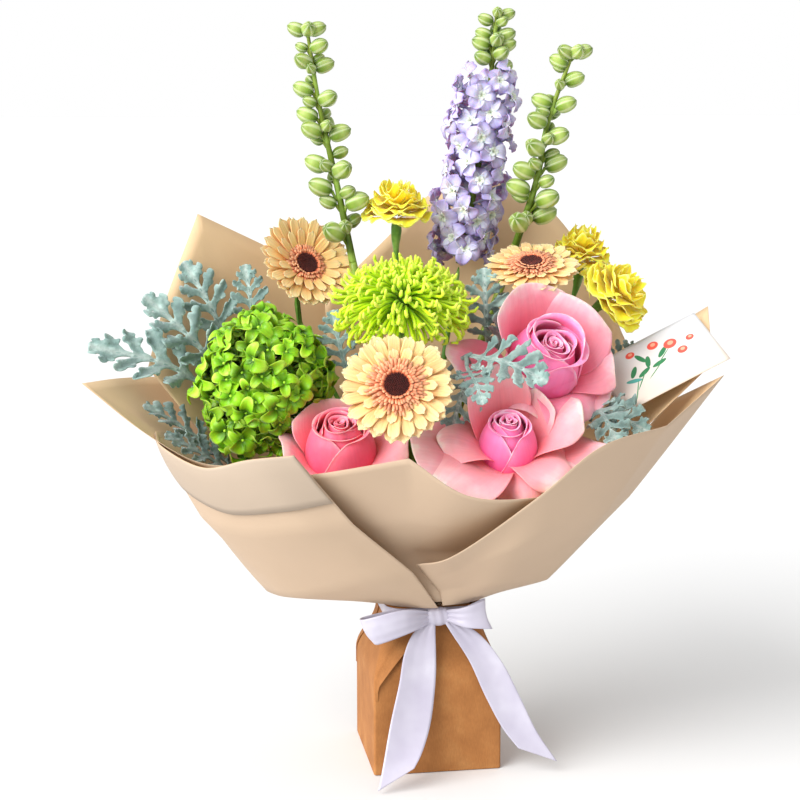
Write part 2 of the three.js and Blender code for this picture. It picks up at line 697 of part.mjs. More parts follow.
const carnations = [
  { name: 'carnation_top', radius: 31, base: v3(-28, 50, 491), facing: v3(0.03, -0.16, 0.98) },
  { name: 'carnation_right', radius: 33, base: v3(165, 18, 424), facing: v3(0.62, -0.4, 0.68),
    near: [12.9, 7.4] },
  { name: 'carnation_back', radius: 30, base: v3(143, 72, 449), facing: v3(0.1, -0.2, 0.97) },
];

for (const { name, radius, base, facing, ease, near } of carnations) {
  const bloom = part(arrangement, `${name}_bloom`, carnationBloom(radius), 'carnation');
  bloom.position.copy(base);
  bloom.quaternion.copy(facingTurn(facing));
  part(arrangement, `${name}_stem`, cuppedStem(base, facing, 2.4, [[26, 2.4], [22, 5.5], [0, 7]], { ease, near }), 'stem');
}

// ---- Delphinium ----
// A bud on its stalk is one tapered body, from its root on the spike's axis. Its bearing runs from the front
// towards the right.
function budAt(axis, height, bearing, size, reach) {
  const angle = radians(bearing - 90);
  const out = v3(Math.cos(angle), Math.sin(angle), 0);
  const lean = out.clone().multiplyScalar(0.9).add(v3(0, 0, 0.35)).normalize();
  const centre = axis(height).addScaledVector(out, reach);
  const along = (share) => centre.clone().addScaledVector(lean, size * share);
  return rod([axis(height - reach * 0.9), along(-1), along(0.1), along(1)],
    [1.2, 1.6, size * 0.8, size * 0.26], 4, v3(0, 0, 1).cross(out));
}

function axisThrough(points) {
  return (z) => {
    const top = points.findIndex((p) => p.z >= z);
    const k = Math.min(Math.max(top < 0 ? points.length - 1 : top, 1), points.length - 1);
    const [low, high] = [points[k - 1], points[k]];
    return low.clone().lerp(high, (z - low.z) / (high.z - low.z));
  };
}

function spikeOfBuds(points, buds) {
  const axis = axisThrough(points);
  const [base, tip] = [points[0], points[points.length - 1]];
  const arrival = points[1].clone().sub(base);
  const place = takePlace(base, 3.6, STEM_SIDES);
  const line = [...stemLine(place, base, arrival, 0.4), ...points.slice(1)];
  const radii = line.map((p) => mix(3.6, 1.5, THREE.MathUtils.smoothstep(p.z, 300, tip.z)));
  const pieces = [rod(line, radii, STEM_SIDES, v3(1, 0, 0))];
  for (const [height, bearing] of buds) {
    const low = 1 - (height - base.z) / (tip.z - base.z);
    pieces.push(budAt(axis, height, bearing, mix(9, 13.5, low), mix(9.5, 19, low)));
  }
  return fused(pieces);
}

const leftSpikeLine = [v3(-68, 44, 451), v3(-82, 44, 521), v3(-98, 44, 595), v3(-108, 44, 660)];
const leftSpikeBuds = [[662, -90], [669, 10], [666, 80], [645, 60], [632, -45], [628, 100], [607, -90], [599, 50],
  [584, -95], [571, -60], [568, 90], [541, -95], [536, 35], [520, -80], [507, 75], [480, -40], [575, 170]];

const rightSpikeLine = [v3(82, 62, 466), v3(99, 44, 525), v3(108, 40, 577), v3(130, 40, 640)];
const rightSpikeBuds = [[632, -90], [640, -50], [648, 20], [641, 70], [616, 90], [597, -90], [594, 70],
  [580, -60], [566, 65], [556, -35], [541, 95], [535, -70], [519, -80], [509, 60], [494, 95], [488, -20],
  [588, 170]];

part(arrangement, 'delphinium_left', spikeOfBuds(leftSpikeLine, leftSpikeBuds), 'bud');
part(arrangement, 'delphinium_right', spikeOfBuds(rightSpikeLine, rightSpikeBuds), 'bud');

// The open spike: a green stem below, lilac florets drawn out of a five-sided core, green buds at the tip.
const openSpikeLine = [v3(31, 84, 446), v3(46, 84, 526), v3(56, 84, 592), v3(64, 84, 676)];
const FLORETS_BOTTOM = 446;
const FLORETS_TOP = 622;
const FLORET_TIERS = 5;
const FLORET_DEPTHS = [2, -3, 3, -2, -4]; // how far each floret round the spike stands out or in

function openFlorets() {
  const axis = axisThrough(openSpikeLine);
  const corners = [];
  const facets = [];
  for (let tier = 0; tier <= FLORET_TIERS; tier += 1) {
    const centre = axis(mix(FLORETS_BOTTOM, FLORETS_TOP, tier / FLORET_TIERS));
    for (let k = 0; k < 5; k += 1) {
      const angle = (2 * Math.PI * (k + tier * 0.42)) / 5;
      corners.push(centre.clone().add(v3(4.5 * Math.cos(angle), 4.5 * Math.sin(angle), 0)));
    }
  }
  for (let tier = 0; tier < FLORET_TIERS; tier += 1) {
    for (let k = 0; k < 5; k += 1) {
      const [low, high, next] = [tier * 5, tier * 5 + 5, (k + 1) % 5];
      facets.push([low + k, low + next, high + next, high + k]);
    }
  }
  facets.push([4, 3, 2, 1, 0], [0, 1, 2, 3, 4].map((k) => FLORET_TIERS * 5 + k));
  return drawnOut(corners, facets, (facet, k) => {
    if (k >= FLORET_TIERS * 5) return null;
    const centre = facet.reduce((sum, p) => sum.add(p), v3(0, 0, 0)).divideScalar(4);
    const share = Math.floor(k / 5) / (FLORET_TIERS - 1);
    const out = centre.clone().sub(axis(centre.z)).setZ(0).normalize().add(v3(0, 0, 0.15)).normalize();
    const place = centre.clone().addScaledVector(out, mix(25, 26, share) + FLORET_DEPTHS[k % 5]);
    const rim = lobedRing(place, out, facet[0], mix(17, 16.5, share), 4, 5);
    return { rings: [rim], tip: place };
  });
}

function openTip() {
  const axis = axisThrough(openSpikeLine);
  const bottom = FLORETS_TOP + GAP;
  const pieces = [rod([axis(bottom), axis(645), axis(676)], [3, 2.4, 1.6], 5, v3(1, 0, 0))];
  const buds = [[670, -90, 7], [676, 0, 6], [674, 80, 7], [656, 75, 8], [657, -95, 7.5], [649, -85, 8.5],
    [647, 80, 8.5], [662, 175, 7], [652, 10, 8]];
  for (const [height, bearing, size] of buds) pieces.push(budAt(axis, height, bearing, size, size * 1.5));
  return fused(pieces);
}

part(arrangement, 'delphinium_open_florets', openFlorets(), 'lilac');
part(arrangement, 'delphinium_open_tip', openTip(), 'bud');
const openStemTop = openSpikeLine[0].clone().sub(v3(0.2, 0, 1.2));
part(arrangement, 'delphinium_open_stem', stemTo(openStemTop, v3(0.18, 0, 1), 3.6, 3.2), 'stem');

const hydrangeaFoot = HYDRANGEA_RADII.clone().multiply(stemSide).multiplyScalar(0.68).add(hydrangeaCentre);
part(arrangement, 'hydrangea_stem', stemTo(hydrangeaFoot, stemSide.clone().negate(), 3.4), 'stem');

// ---- Dusty miller ----
// Half of a leaf's outline, from its foot to its tip, as shares of its length: deep lobes with toothed ends.
const LOBED_HALF = [[0, 0.03], [0.14, 0.04], [0.2, 0.2], [0.3, 0.18], [0.3, 0.06], [0.42, 0.28], [0.53, 0.25],
  [0.52, 0.08], [0.68, 0.26], [0.76, 0.2], [0.74, 0.09], [0.9, 0.15], [1, 0.03]];

// A leaf from foot to tip. Its face looks towards "face"; it arches back by "arch" and folds up at the rib.
function lobedLeaf(foot, tip, face, breadth, arch) {
  const length = foot.distanceTo(tip);
  const along = tip.clone().sub(foot).normalize();
  const across = along.clone().cross(face).normalize();
  const up = across.clone().cross(along).normalize();
  const right = LOBED_HALF.map(([y, x]) => new THREE.Vector2(x * breadth, y));
  const left = LOBED_HALF.map(([y, x]) => new THREE.Vector2(-x * breadth, y)).reverse();
  const outline = new THREE.Shape([...right, ...left]);
  const geometry = new THREE.ExtrudeGeometry(outline, { depth: 1, bevelEnabled: false, steps: 1 });
  const position = geometry.attributes.position;
  for (let k = 0; k < position.count; k += 1) {
    const [x, y, z] = [position.getX(k), position.getY(k), position.getZ(k)];
    const rise = arch * Math.sin(Math.PI * y) ** 2 * length + Math.abs(x) * length * 0.35 + (z - 0.5) * LEAF;
    const point = foot.clone()
      .addScaledVector(along, y * length)
      .addScaledVector(across, x * length)
      .addScaledVector(up, rise);
    position.setXYZ(k, point.x, point.y, point.z);
  }
  return geometry;
}

// A spray: one stalk from the tie, with each leaf's foot on it.
function spray(leaves) {
  const [first] = leaves;
  const arrival = first.tip.clone().sub(first.foot).normalize().add(v3(0, 0, 0.6));
  const through = first.foot.clone().addScaledVector(arrival.clone().normalize(), 3);
  const pieces = [stemTo(through, arrival, 2, 1.4, { ease: first.ease, near: first.near, sides: 3 })];
  for (const leaf of leaves) {
    const rooted = leaf.foot.clone().lerp(leaf.tip, -0.03);
    pieces.push(lobedLeaf(rooted, leaf.tip, leaf.face, leaf.breadth ?? 1, leaf.arch ?? 0.08));
    if (leaf !== first) {
      const side = leaf.foot.clone().sub(first.foot).normalize();
      const start = first.foot.clone().addScaledVector(arrival.clone().normalize(), -3);
      pieces.push(rod([start, leaf.foot.clone().addScaledVector(side, 2)], [1.6, 1.4], 3, v3(0.2, 0.3, 1)));
    }
  }
  return fused(pieces);
}

const LOOK_UP_FRONT = v3(0, -0.8, 0.6);
const sprays = {
  dusty_miller_left_long: [
    { foot: v3(-186, 20, 330), tip: v3(-294, -24, 394), face: v3(0.1, -0.7, 0.7), breadth: 0.85 },
    { foot: v3(-180, 30, 340), tip: v3(-252, 4, 424), face: v3(0.2, -0.9, 0.4), breadth: 0.85 }],
  dusty_miller_left_upper: [
    { foot: v3(-178, 46, 366), tip: v3(-224, 34, 450), face: v3(0.3, -0.95, 0.1), breadth: 0.95 }],
  dusty_miller_left_inner: [
    { foot: v3(-156, 30, 380), tip: v3(-167, 30, 450), face: v3(0.1, -1, 0.1), breadth: 1, near: [-17.2, 14.9] }],
  dusty_miller_left_low: [
    { foot: v3(-178, -20, 277), tip: v3(-246, -46, 336), face: v3(0, -0.5, 0.85), breadth: 0.75, arch: 0.01 }],
  dusty_miller_left_lowest: [
    { foot: v3(-166, -36, 262), tip: v3(-236, -78, 319), face: v3(0, -0.6, 0.8), breadth: 0.7, arch: 0.01 }],
  dusty_miller_middle: [
    { foot: v3(-71, -22, 356), tip: v3(-87, -12, 414), face: v3(-0.1, -1, 0.1), breadth: 1.1, near: [-4.3, -7.4] }],
  dusty_miller_behind_mum: [
    { foot: v3(54, -4, 380), tip: v3(46, -10, 450), face: v3(-0.1, -1, 0.1), breadth: 1 },
    { foot: v3(64, 2, 374), tip: v3(66, -4, 428), face: v3(0.2, -1, 0), breadth: 1.1 }],
  dusty_miller_under_gerbera: [
    { foot: v3(104, 24, 390), tip: v3(100, 10, 430), face: v3(0, -1, 0.1), breadth: 1.3 }],
  dusty_miller_front: [
    { foot: v3(34, -60, 380), tip: v3(90, -96, 368), face: LOOK_UP_FRONT, breadth: 0.9, near: [4.3, -7.4] },
    { foot: v3(32, -76, 374), tip: v3(44, -120, 350), face: LOOK_UP_FRONT, breadth: 1 }],
  dusty_miller_right: [
    { foot: v3(140, -34, 322), tip: v3(186, -72, 322), face: v3(0.1, -0.7, 0.7), breadth: 1.2 }],
  dusty_miller_right_back: [
    { foot: v3(160, 30, 352), tip: v3(194, 30, 378), face: v3(0.2, -0.8, 0.5), breadth: 1.5 }],
};

for (const [name, leaves] of Object.entries(sprays)) part(arrangement, name, spray(leaves), 'dustyMiller');

// ---- Tie, water bag and water ----
const tie = new THREE.TorusGeometry(TIE_RADIUS, 1.2, 3, 12);
part(arrangement, 'twine_tie', tie, 'twine').position.z = TIE_HEIGHT;

const BAG = [[50, BOARD + GAP], [52, 8], [52, 78], [46, 96], [36, 112], [33, 118]];
function waterBag() {
  const outer = [[0, BAG[0][1]], ...BAG];
  const inner = BAG.map(([r, z], k) => [r - FILM, k === 0 ? z + FILM : z]).reverse();
  return turned([...outer, ...inner, [0, BAG[0][1] + FILM]], 14);
}

part(bouquet, 'water_bag', waterBag(), 'film');

function waterBody() {
  const play = FILM + 0.8;
  const body = turned([[0, BAG[0][1] + play], [50 - play, BAG[0][1] + play], [52 - play, 8], [52 - play, 77],
    [51.6 - play - 2.6, WATER_LEVEL], [0, WATER_LEVEL]], 14);
  const taken = stemPlaces.filter((place) => place.radius > 0);
  const wells = taken.map(({ x, y, radius, sides }) => {
    const wall = radius + GAP / Math.cos(Math.PI / sides);
    const well = rod([v3(x, y, STEM_FOOT - 1.5), v3(x, y, WATER_LEVEL + 2)], [wall, wall], sides, v3(1, 0, 0));
    return well.rotateZ(BOUQUET_TURN);
  });
  return cut(body, wells);
}

part(bouquet, 'water', waterBody(), 'water');

// ---- Wrapping paper ----
// A sheet is a smooth surface through hand-set columns. Each column has the bearing at which it leaves the
// neck (0 is the front, 90 the right), and three points up to its rim. "nest" is the sheet's place in the
// neck, from 0 outermost: the further in, the higher it turns outward over the collar.
function sheetSurface(columns, nest) {
  const neckRadius = 41.3 - 1.5 * nest;
  const splines = columns.map(([bearing, ...points]) => {
    const angle = radians(bearing - 90);
    const at = (r, z) => v3(r * Math.cos(angle), r * Math.sin(angle), z);
    return new THREE.CatmullRomCurve3([
      at(neckRadius, PAPER_FOOT), at(neckRadius, COLLAR_TOP + 1.4 * (nest + 1)),
      at(PAPER_FLARE_RADIUS, COLLAR_TOP + 4 + 1.9 * nest), ...points.map(([x, y, z]) => v3(x, y, z)),
    ], false, 'centripetal');
  });
  return (u, v) => new THREE.CatmullRomCurve3(splines.map((s) => s.getPoint(v)), false, 'centripetal').getPoint(u);
}

const sheets = {
  paper_left_front: { nest: 0, columns: [
    [8, [-14, -97, 197], [-64, -137, 250], [-112, -157, 313]],
    [-4, [-49, -106, 195], [-108, -140, 246], [-150, -151, 308]],
    [-28, [-88, -88, 178], [-158, -112, 237], [-189, -130, 297]],
    [-52, [-122, -62, 165], [-193, -79, 238], [-225, -98, 290]],
    [-74, [-145, -26, 160], [-209, -43, 249], [-236, -61, 290]],
    [-98, [-151, 14, 158], [-211, 10, 246], [-235, 0, 291]]] },
  paper_left_wing: { nest: 1, columns: [
    [-24, [-76, -72, 186], [-132, -88, 247], [-158, -108, 293]],
    [-44, [-100, -56, 180], [-161, -74, 255], [-196, -104, 296]],
    [-62, [-118, -37, 175], [-185, -56, 266], [-242, -87, 317]],
    [-80, [-127, -11, 173], [-198, -32, 281], [-302, -52, 355]],
    [-100, [-126, 22, 173], [-188, 18, 275], [-277, 0, 351]],
    [-120, [-114, 48, 173], [-170, 50, 264], [-244, 40, 346]]] },
  paper_front: { nest: 3, columns: [
    [-46, [-62, -66, 198], [-96, -95, 240], [-130, -124, 286]],
    [-24, [-34, -80, 203], [-56, -112, 244], [-83, -148, 297]],
    [-8, [-10, -80, 210], [-15, -119, 248], [-18, -160, 311]],
    [8, [13, -80, 210], [21, -117, 243], [30, -156, 279]],
    [26, [42, -74, 208], [62, -108, 240], [83, -144, 274]],
    [42, [64, -62, 200], [90, -88, 238], [122, -118, 277]]] },
  paper_right_front: { nest: 1, columns: [
    [12, [9, -68, 172], [-1, -80, 187], [-11, -92, 203]],
    [24, [30, -78, 179], [23, -101, 200], [17, -125, 218]],
    [38, [56, -88, 184], [72, -127, 228], [91, -153, 279]],
    [54, [84, -76, 185], [111, -122, 247], [139, -149, 318]],
    [70, [105, -52, 178], [153, -89, 250], [200, -107, 328]],
    [88, [112, -20, 176], [179, -36, 250], [258, -46, 361]],
    [106, [103, 26, 178], [160, 25, 250], [222, 10, 329]]] },
  paper_right: { nest: 4, columns: [
    [70, [84, -38, 199], [152, -42, 274], [250, -34, 370]],
    [88, [91, -10, 196], [162, 0, 286], [256, 32, 412]],
    [106, [87, 19, 196], [147, 34, 284], [220, 60, 384]],
    [122, [72, 44, 194], [112, 60, 276], [174, 76, 364]],
    [140, [49, 60, 192], [80, 76, 268], [128, 90, 352]]] },
  paper_left_back: { nest: 2, columns: [
    [-84, [-104, -14, 184], [-184, -17, 280], [-251, -5, 361]],
    [-104, [-110, 15, 184], [-181, 21, 290], [-240, 25, 411]],
    [-124, [-98, 46, 190], [-157, 56, 316], [-211, 62, 494]],
    [-146, [-74, 69, 190], [-121, 82, 307], [-147, 90, 460]],
    [-168, [-40, 81, 187], [-73, 101, 299], [-78, 118, 422]]] },
  paper_back: { nest: 3, columns: [
    [-140, [-52, 54, 196], [-88, 74, 289], [-96, 92, 411]],
    [-156, [-31, 65, 198], [-50, 92, 315], [-39, 112, 466]],
    [-174, [-1, 72, 198], [-1, 106, 323], [10, 132, 512]],
    [-192, [28, 74, 197], [47, 110, 323], [61, 138, 529]],
    [-208, [58, 70, 197], [96, 104, 314], [114, 132, 498]],
    [-224, [78, 62, 195], [130, 92, 287], [156, 116, 445]],
    [-240, [88, 48, 193], [147, 68, 267], [189, 88, 372]]] },
};

const SHEET_COLUMNS = 6;
const ROW_PLACES = [0, 1, 1.45, 2, 3, 3.5, 4, 5].map((row) => row / 5); // rows at the neck and its turn
for (const [name, { nest, columns }] of Object.entries(sheets)) {
  const surface = sheetSurface(columns, nest);
  const places = [...ROW_PLACES];
  const cuff = places.map(() => 0);
  if (name === 'paper_left_front') {
    // The rim is folded outward and down as a cuff.
    places.splice(-1, 1, 0.975, 1, 0.975, 0.82);
    cuff.splice(-1, 1, 0, 0.9, 1.9, 3.4);
  }
  const rows = places.length - 1;
  part(arrangement, name, blade((u, v) => {
    const row = Math.round(v * rows);
    const point = surface(u, places[row]);
    if (cuff[row] === 0) return point;
    const across = surface(Math.min(u + 0.05, 1), 0.9).sub(surface(Math.max(u - 0.05, 0), 0.9));
    const inward = across.cross(surface(u, 0.95).sub(surface(u, 0.85))).normalize();
    return point.addScaledVector(inward, -cuff[row]);
  }, SHEET_COLUMNS, rows, PAPER), 'paper');
}

// ---- Greeting card ----
const CARD_WIDTH = 105;
const CARD_HEIGHT = 74;
const card = part(arrangement, 'greeting_card', new THREE.BoxGeometry(CARD_WIDTH, CARD_HEIGHT, 1), 'card');
const cardAcross = v3(0.887, 0.086, 0.453).normalize();
const cardFace = cardAcross.clone().cross(v3(0.068, 0.814, 0.577)).normalize();
card.position.set(206.5, -14, 367.5);
card.quaternion.setFromRotationMatrix(new THREE.Matrix4().makeBasis(
  cardAcross, cardFace.clone().cross(cardAcross), cardFace));

// ---- Ribbon ----
const BAND_LOW = 139;
const BAND_HIGH = 150;
function ribbonBand() {
  const radius = 17;
  const rings = (half, low, high) => [low, high].map((z) => squareRing(half, radius, z));
  const outer = stackedRings(rings(NECK_HALF + GAP + RIBBON, BAND_LOW, BAND_HIGH));
  const inner = stackedRings(rings(NECK_HALF + GAP, BAND_LOW - 1, BAND_HIGH + 1));
  return cut(outer, [inner]);
}
part(bouquet, 'ribbon_band', ribbonBand(), 'satin');

// A length of ribbon: its middle line, and the half width across it at each point.
function ribbonLength(line, halves, columns, rows) {
  const middle = new THREE.CatmullRomCurve3(line.map(([x, y, z]) => v3(x, y, z)), false, 'centripetal');
  const half = new THREE.CatmullRomCurve3(halves.map(([x, y, z]) => v3(x, y, z)), false, 'centripetal');
  return blade((u, v) => middle.getPoint(v).addScaledVector(half.getPoint(v), 2 * u - 1), columns, rows, RIBBON);
}

const bowKnot = new THREE.SphereGeometry(1, 8, 4).scale(11, 6.5, 8.5).translate(0, -52, 144.5);
const bow = [
  bowKnot,
  ribbonLength([[-4, -54, 145], [-34, -72, 146], [-63, -64, 136], [-60, -55, 136], [-34, -53, 145], [-6, -50, 144]],
    [[-1, 0, 5], [-2, 0, 11], [-6, 0, 12], [-5, 0, 11], [-1, 0, 8], [0, 0, 4]], 1, 10),
  ribbonLength([[4, -54, 146], [22, -72, 148], [42, -72, 148], [43, -65, 147], [24, -55, 145], [6, -50, 144]],
    [[0, 0, 5], [-1, 0, 9], [-4, 0, 14], [-4, 0, 13], [-1, 0, 8], [0, 0, 4]], 1, 10),
  ribbonLength([[-6, -54, 141], [-18, -61, 122], [-20, -66, 90], [-28, -78, 50], [-44, -100, 12]],
    [[5, 0, -2], [14, 0, 2], [16, 0, 1], [16, 0, 3], [15.5, 1, 9]], 2, 7),
  ribbonLength([[7, -54, 141], [24, -62, 120], [42, -66, 90], [64, -70, 55], [88, -78, 18]],
    [[5, 0, 2], [14, 0, 8], [15, 0, 7], [15, 0, 7], [17, -2, -6]], 2, 7),
];
part(bouquet, 'ribbon_bow', fused(bow), 'satin');

export default bouquet;
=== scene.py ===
import math
import random

import bpy
import numpy as np
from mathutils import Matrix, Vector, geometry


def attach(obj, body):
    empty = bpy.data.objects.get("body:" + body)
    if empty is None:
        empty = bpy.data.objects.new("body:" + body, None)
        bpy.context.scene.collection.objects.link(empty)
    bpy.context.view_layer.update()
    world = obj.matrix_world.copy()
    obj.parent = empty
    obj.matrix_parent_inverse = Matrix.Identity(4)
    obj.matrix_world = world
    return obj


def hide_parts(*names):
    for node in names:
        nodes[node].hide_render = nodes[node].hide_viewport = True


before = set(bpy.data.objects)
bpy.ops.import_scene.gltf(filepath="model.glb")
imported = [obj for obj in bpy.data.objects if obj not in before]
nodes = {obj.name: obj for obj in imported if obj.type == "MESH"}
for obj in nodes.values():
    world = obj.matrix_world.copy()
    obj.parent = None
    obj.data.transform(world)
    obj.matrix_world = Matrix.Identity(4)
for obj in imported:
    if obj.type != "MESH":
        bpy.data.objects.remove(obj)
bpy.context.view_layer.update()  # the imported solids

# %% [markdown]
# # A mixed bouquet in a kraft-card carry box
# The real thing is cut flowers, seven sheets of wrapping paper, a folded card box and a satin ribbon. Each
# keeps the place that its solid has in the frame. A petal is thin, curved and never quite like the next, so
# every piece here is grown as a surface in code from a few named sizes, and never from a block.
#
# Sizes are in millimetres and turn into Blender's metres in one place. Flowers and paper share a frame that
# is turned nine degrees on the box: +X is the bouquet's right and -Y its front.

# %% Millimetres, and the bouquet's own frame
MM = 0.001
BOUQUET_TURN = math.radians(-9)


def in_metres(points, turn=BOUQUET_TURN):
    x, y, z = np.moveaxis(np.asarray(points, float), -1, 0)
    c, s = math.cos(turn), math.sin(turn)
    return np.stack([c * x - s * y, s * x + c * y, z], -1) * MM


def mix(a, b, t):
    return a + (b - a) * t


def ease(t):
    t = np.clip(t, 0, 1)
    return t * t * (3 - 2 * t)


def unit(v):
    v = np.asarray(v, float)
    return v / np.linalg.norm(v)


# %% [markdown]
# ## Gathering surfaces
# A bloom is one body made of many petals. A `Growth` gathers them: `sheet` takes a grid of points, and
# `tube` takes a line and its radii. Every vertex remembers how far it is across and along its own petal,
# because a real petal is darker at its foot and paler at its rim, and one shade number that tints the piece:
# mostly random, but in the rose guards, the hydrangea and the dusty miller it is painted shade, darker where
# a piece lies deep or underneath. The materials read these three numbers as the attribute "petal". Solidify
# then gives the surface the thickness of the real one.

# %% Growth: petals, leaves and tubes in one mesh
class Growth:
    def __init__(self):
        self.points, self.faces, self.marks, self.count = [], [], [], 0

    def add(self, points, faces, marks):
        self.points.append(points)
        self.faces += [tuple(int(i) + self.count for i in face) for face in faces]
        self.marks.append(marks)
        self.count += len(points)

    def sheet(self, grid, shade=0.5, wrap=False):
        rows, columns = grid.shape[:2]
        along, across = np.meshgrid(np.linspace(0, 1, rows), np.linspace(0, 1, columns), indexing="ij")
        marks = np.stack([across, along, np.full_like(along, shade)], -1).reshape(-1, 3)
        steps = columns if wrap else columns - 1
        faces = [(j * columns + i, j * columns + (i + 1) % columns,
                  (j + 1) * columns + (i + 1) % columns, (j + 1) * columns + i)
                 for j in range(rows - 1) for i in range(steps)]
        self.add(grid.reshape(-1, 3), faces, marks)

    def tube(self, line, radii, sides=6, shade=0.5, wobble=None):
        line = np.asarray(line, float)
        radii = np.broadcast_to(np.asarray(radii, float), (len(line),))
        travel = np.gradient(line, axis=0)
        travel /= np.linalg.norm(travel, axis=1)[:, None]
        side = np.cross(travel[0], [0.31, 0.2, 0.93])
        rings = []
        turn = np.linspace(0, 2 * np.pi, sides, endpoint=False)
        for k, (point, way) in enumerate(zip(line, travel)):
            side = unit(side - way * np.dot(side, way))
            other = np.cross(way, side)
            reach = radii[k] * (1 if wobble is None else wobble(turn, k / (len(line) - 1)))
            across, up = np.cos(turn) * reach, np.sin(turn) * reach
            rings.append(point + across[:, None] * side + up[:, None] * other)
        start = self.count
        self.sheet(np.array(rings), shade, wrap=True)
        self.faces.append(tuple(start + i for i in range(sides - 1, -1, -1)))
        self.faces.append(tuple(start + (len(line) - 1) * sides + i for i in range(sides)))

    def moved(self, turn, place):
        """Turns and moves everything gathered so far."""
        matrix = np.array(turn)
        self.points = [p @ matrix.T + np.asarray(place) for p in self.points]
        return self

    def piece(self, name, material, slot, *replaced, thick=0.0, turn=BOUQUET_TURN, levels=0):
        points = in_metres(np.concatenate(self.points), turn)
        mesh = bpy.data.meshes.new(name)
        mesh.from_pydata(points.tolist(), [], self.faces)
        marks = mesh.attributes.new("petal", "FLOAT_VECTOR", "POINT")
        marks.data.foreach_set("vector", np.concatenate(self.marks).astype(np.float32).ravel())
        mesh.shade_smooth()
        return dressed(bpy.data.objects.new(name, mesh), material, slot, *replaced, thick=thick,
                       levels=levels)


def dressed(piece, material, slot, *replaced, thick=0.0, levels=0):
    """Links a piece, gives it its material, any subdivision and thickness, and hides the solids it replaces.
    """
    bpy.context.scene.collection.objects.link(piece)
    piece.data.materials.append(material)
    if levels:
        piece.modifiers.new("fine", "SUBSURF").levels = levels
        piece.modifiers["fine"].render_levels = levels
    if thick:
        skin = piece.modifiers.new("thickness", "SOLIDIFY")
        skin.thickness, skin.offset = thick * MM, 0
    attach(piece, "root")
    if replaced:
        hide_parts(*replaced)
    print(f"  {piece.name}: {len(piece.data.polygons)} faces")
    return piece


# %% Smooth curves through a few points
def spline(points, t):
    """The curve that passes through all the points (centripetal Catmull-Rom), at t from 0 to 1."""
    points = np.asarray(points, float)
    last = len(points) - 1
    padded = np.vstack([2 * points[0] - points[1], points, 2 * points[-1] - points[-2]])
    place = np.clip(np.asarray(t, float), 0, 1) * last
    k = np.minimum(place.astype(int), last - 1)
    w = (place - k)[..., None]
    p0, p1, p2, p3 = (padded[k + i] for i in range(4))
    gap = [np.sqrt(np.maximum(np.linalg.norm(b - a, axis=-1), 1e-8))[..., None]
           for a, b in ((p0, p1), (p1, p2), (p2, p3))]
    leave = ((p1 - p0) / gap[0] - (p2 - p0) / (gap[0] + gap[1]) + (p2 - p1) / gap[1]) * gap[1]
    arrive = ((p2 - p1) / gap[1] - (p3 - p1) / (gap[1] + gap[2]) + (p3 - p2) / gap[2]) * gap[1]
    return p1 + leave * w + (3 * (p2 - p1) - 2 * leave - arrive) * w**2 + (
        2 * (p1 - p2) + leave + arrive) * w**3


def head_turn(facing):
    """The turn that points a head's own +Z along its facing."""
    return np.array(Vector((0, 0, 1)).rotation_difference(Vector(unit(facing))).to_matrix())


# %% [markdown]
# ## Colours and nodes
# Hex colours are sRGB, as a colour picker reads them, and one function turns them to the linear values that
# Blender works in. One function adds a node: its settings first, then each socket by name, or by number where
# two sockets share a name. Another fills the sockets of a node that is there already.

# %% Colour and node helpers
def linear(hex_colour):
    values = [int(hex_colour[i:i + 2], 16) / 255 for i in (1, 3, 5)]
    return (*[v / 12.92 if v <= 0.04045 else ((v + 0.055) / 1.055) ** 2.4 for v in values], 1)


def give(material, node, **sockets):
    """Sets or links a node's sockets. A space in a socket's name is written _."""
    for name, value in sockets.items():
        socket = node.inputs[int(name[1:])] if name[1:].isdigit() else node.inputs[name.replace("_", " ")]
        if isinstance(value, bpy.types.NodeSocket):
            material.node_tree.links.new(value, socket)
        else:
            socket.default_value = value


def add(material, kind, settings=None, **sockets):
    """Adds one node. The setting "stops" fills a colour ramp from [place, hex colour] pairs."""
    node = material.node_tree.nodes.new("ShaderNode" + kind)
    for name, value in (settings or {}).items():
        if name != "stops":
            setattr(node, name, value)
            continue
        bands = node.color_ramp.elements
        while len(bands) < len(value):
            bands.new(0.5)
        for band, (place, colour) in zip(bands, value):
            band.position, band.color = place, linear(colour)
    give(material, node, **sockets)
    return node


def new_material(name):
    material = bpy.data.materials.new(name)
    material.use_nodes = True
    return material, material.node_tree.nodes["Principled BSDF"]


BLEND = {"data_type": "RGBA"}  # settings of a Mix node: a colour between two, or two colours multiplied
TIMES = {"data_type": "RGBA", "blend_type": "MULTIPLY"}

# %% [markdown]
# ## Living petals
# A petal is a skin of clear, domed cells over soft tissue: it is matt to satin, scatters a little light
# inside, and shows fine veins that run from foot to rim. Its refractive index is that of water and cell wall,
# about 1.4. Colour comes from a few hex values on the way from foot to rim, because pigment is uneven along
# a petal; in the rose guards and the delphinium buds these also hold painted shade and a painted highlight.
# The veins are noise squeezed across the petal, about one every millimetre, and they also drive a shallow
# bump.

# %% One recipe for petals, leaves and florets
WET_CELL_IOR = 1.4


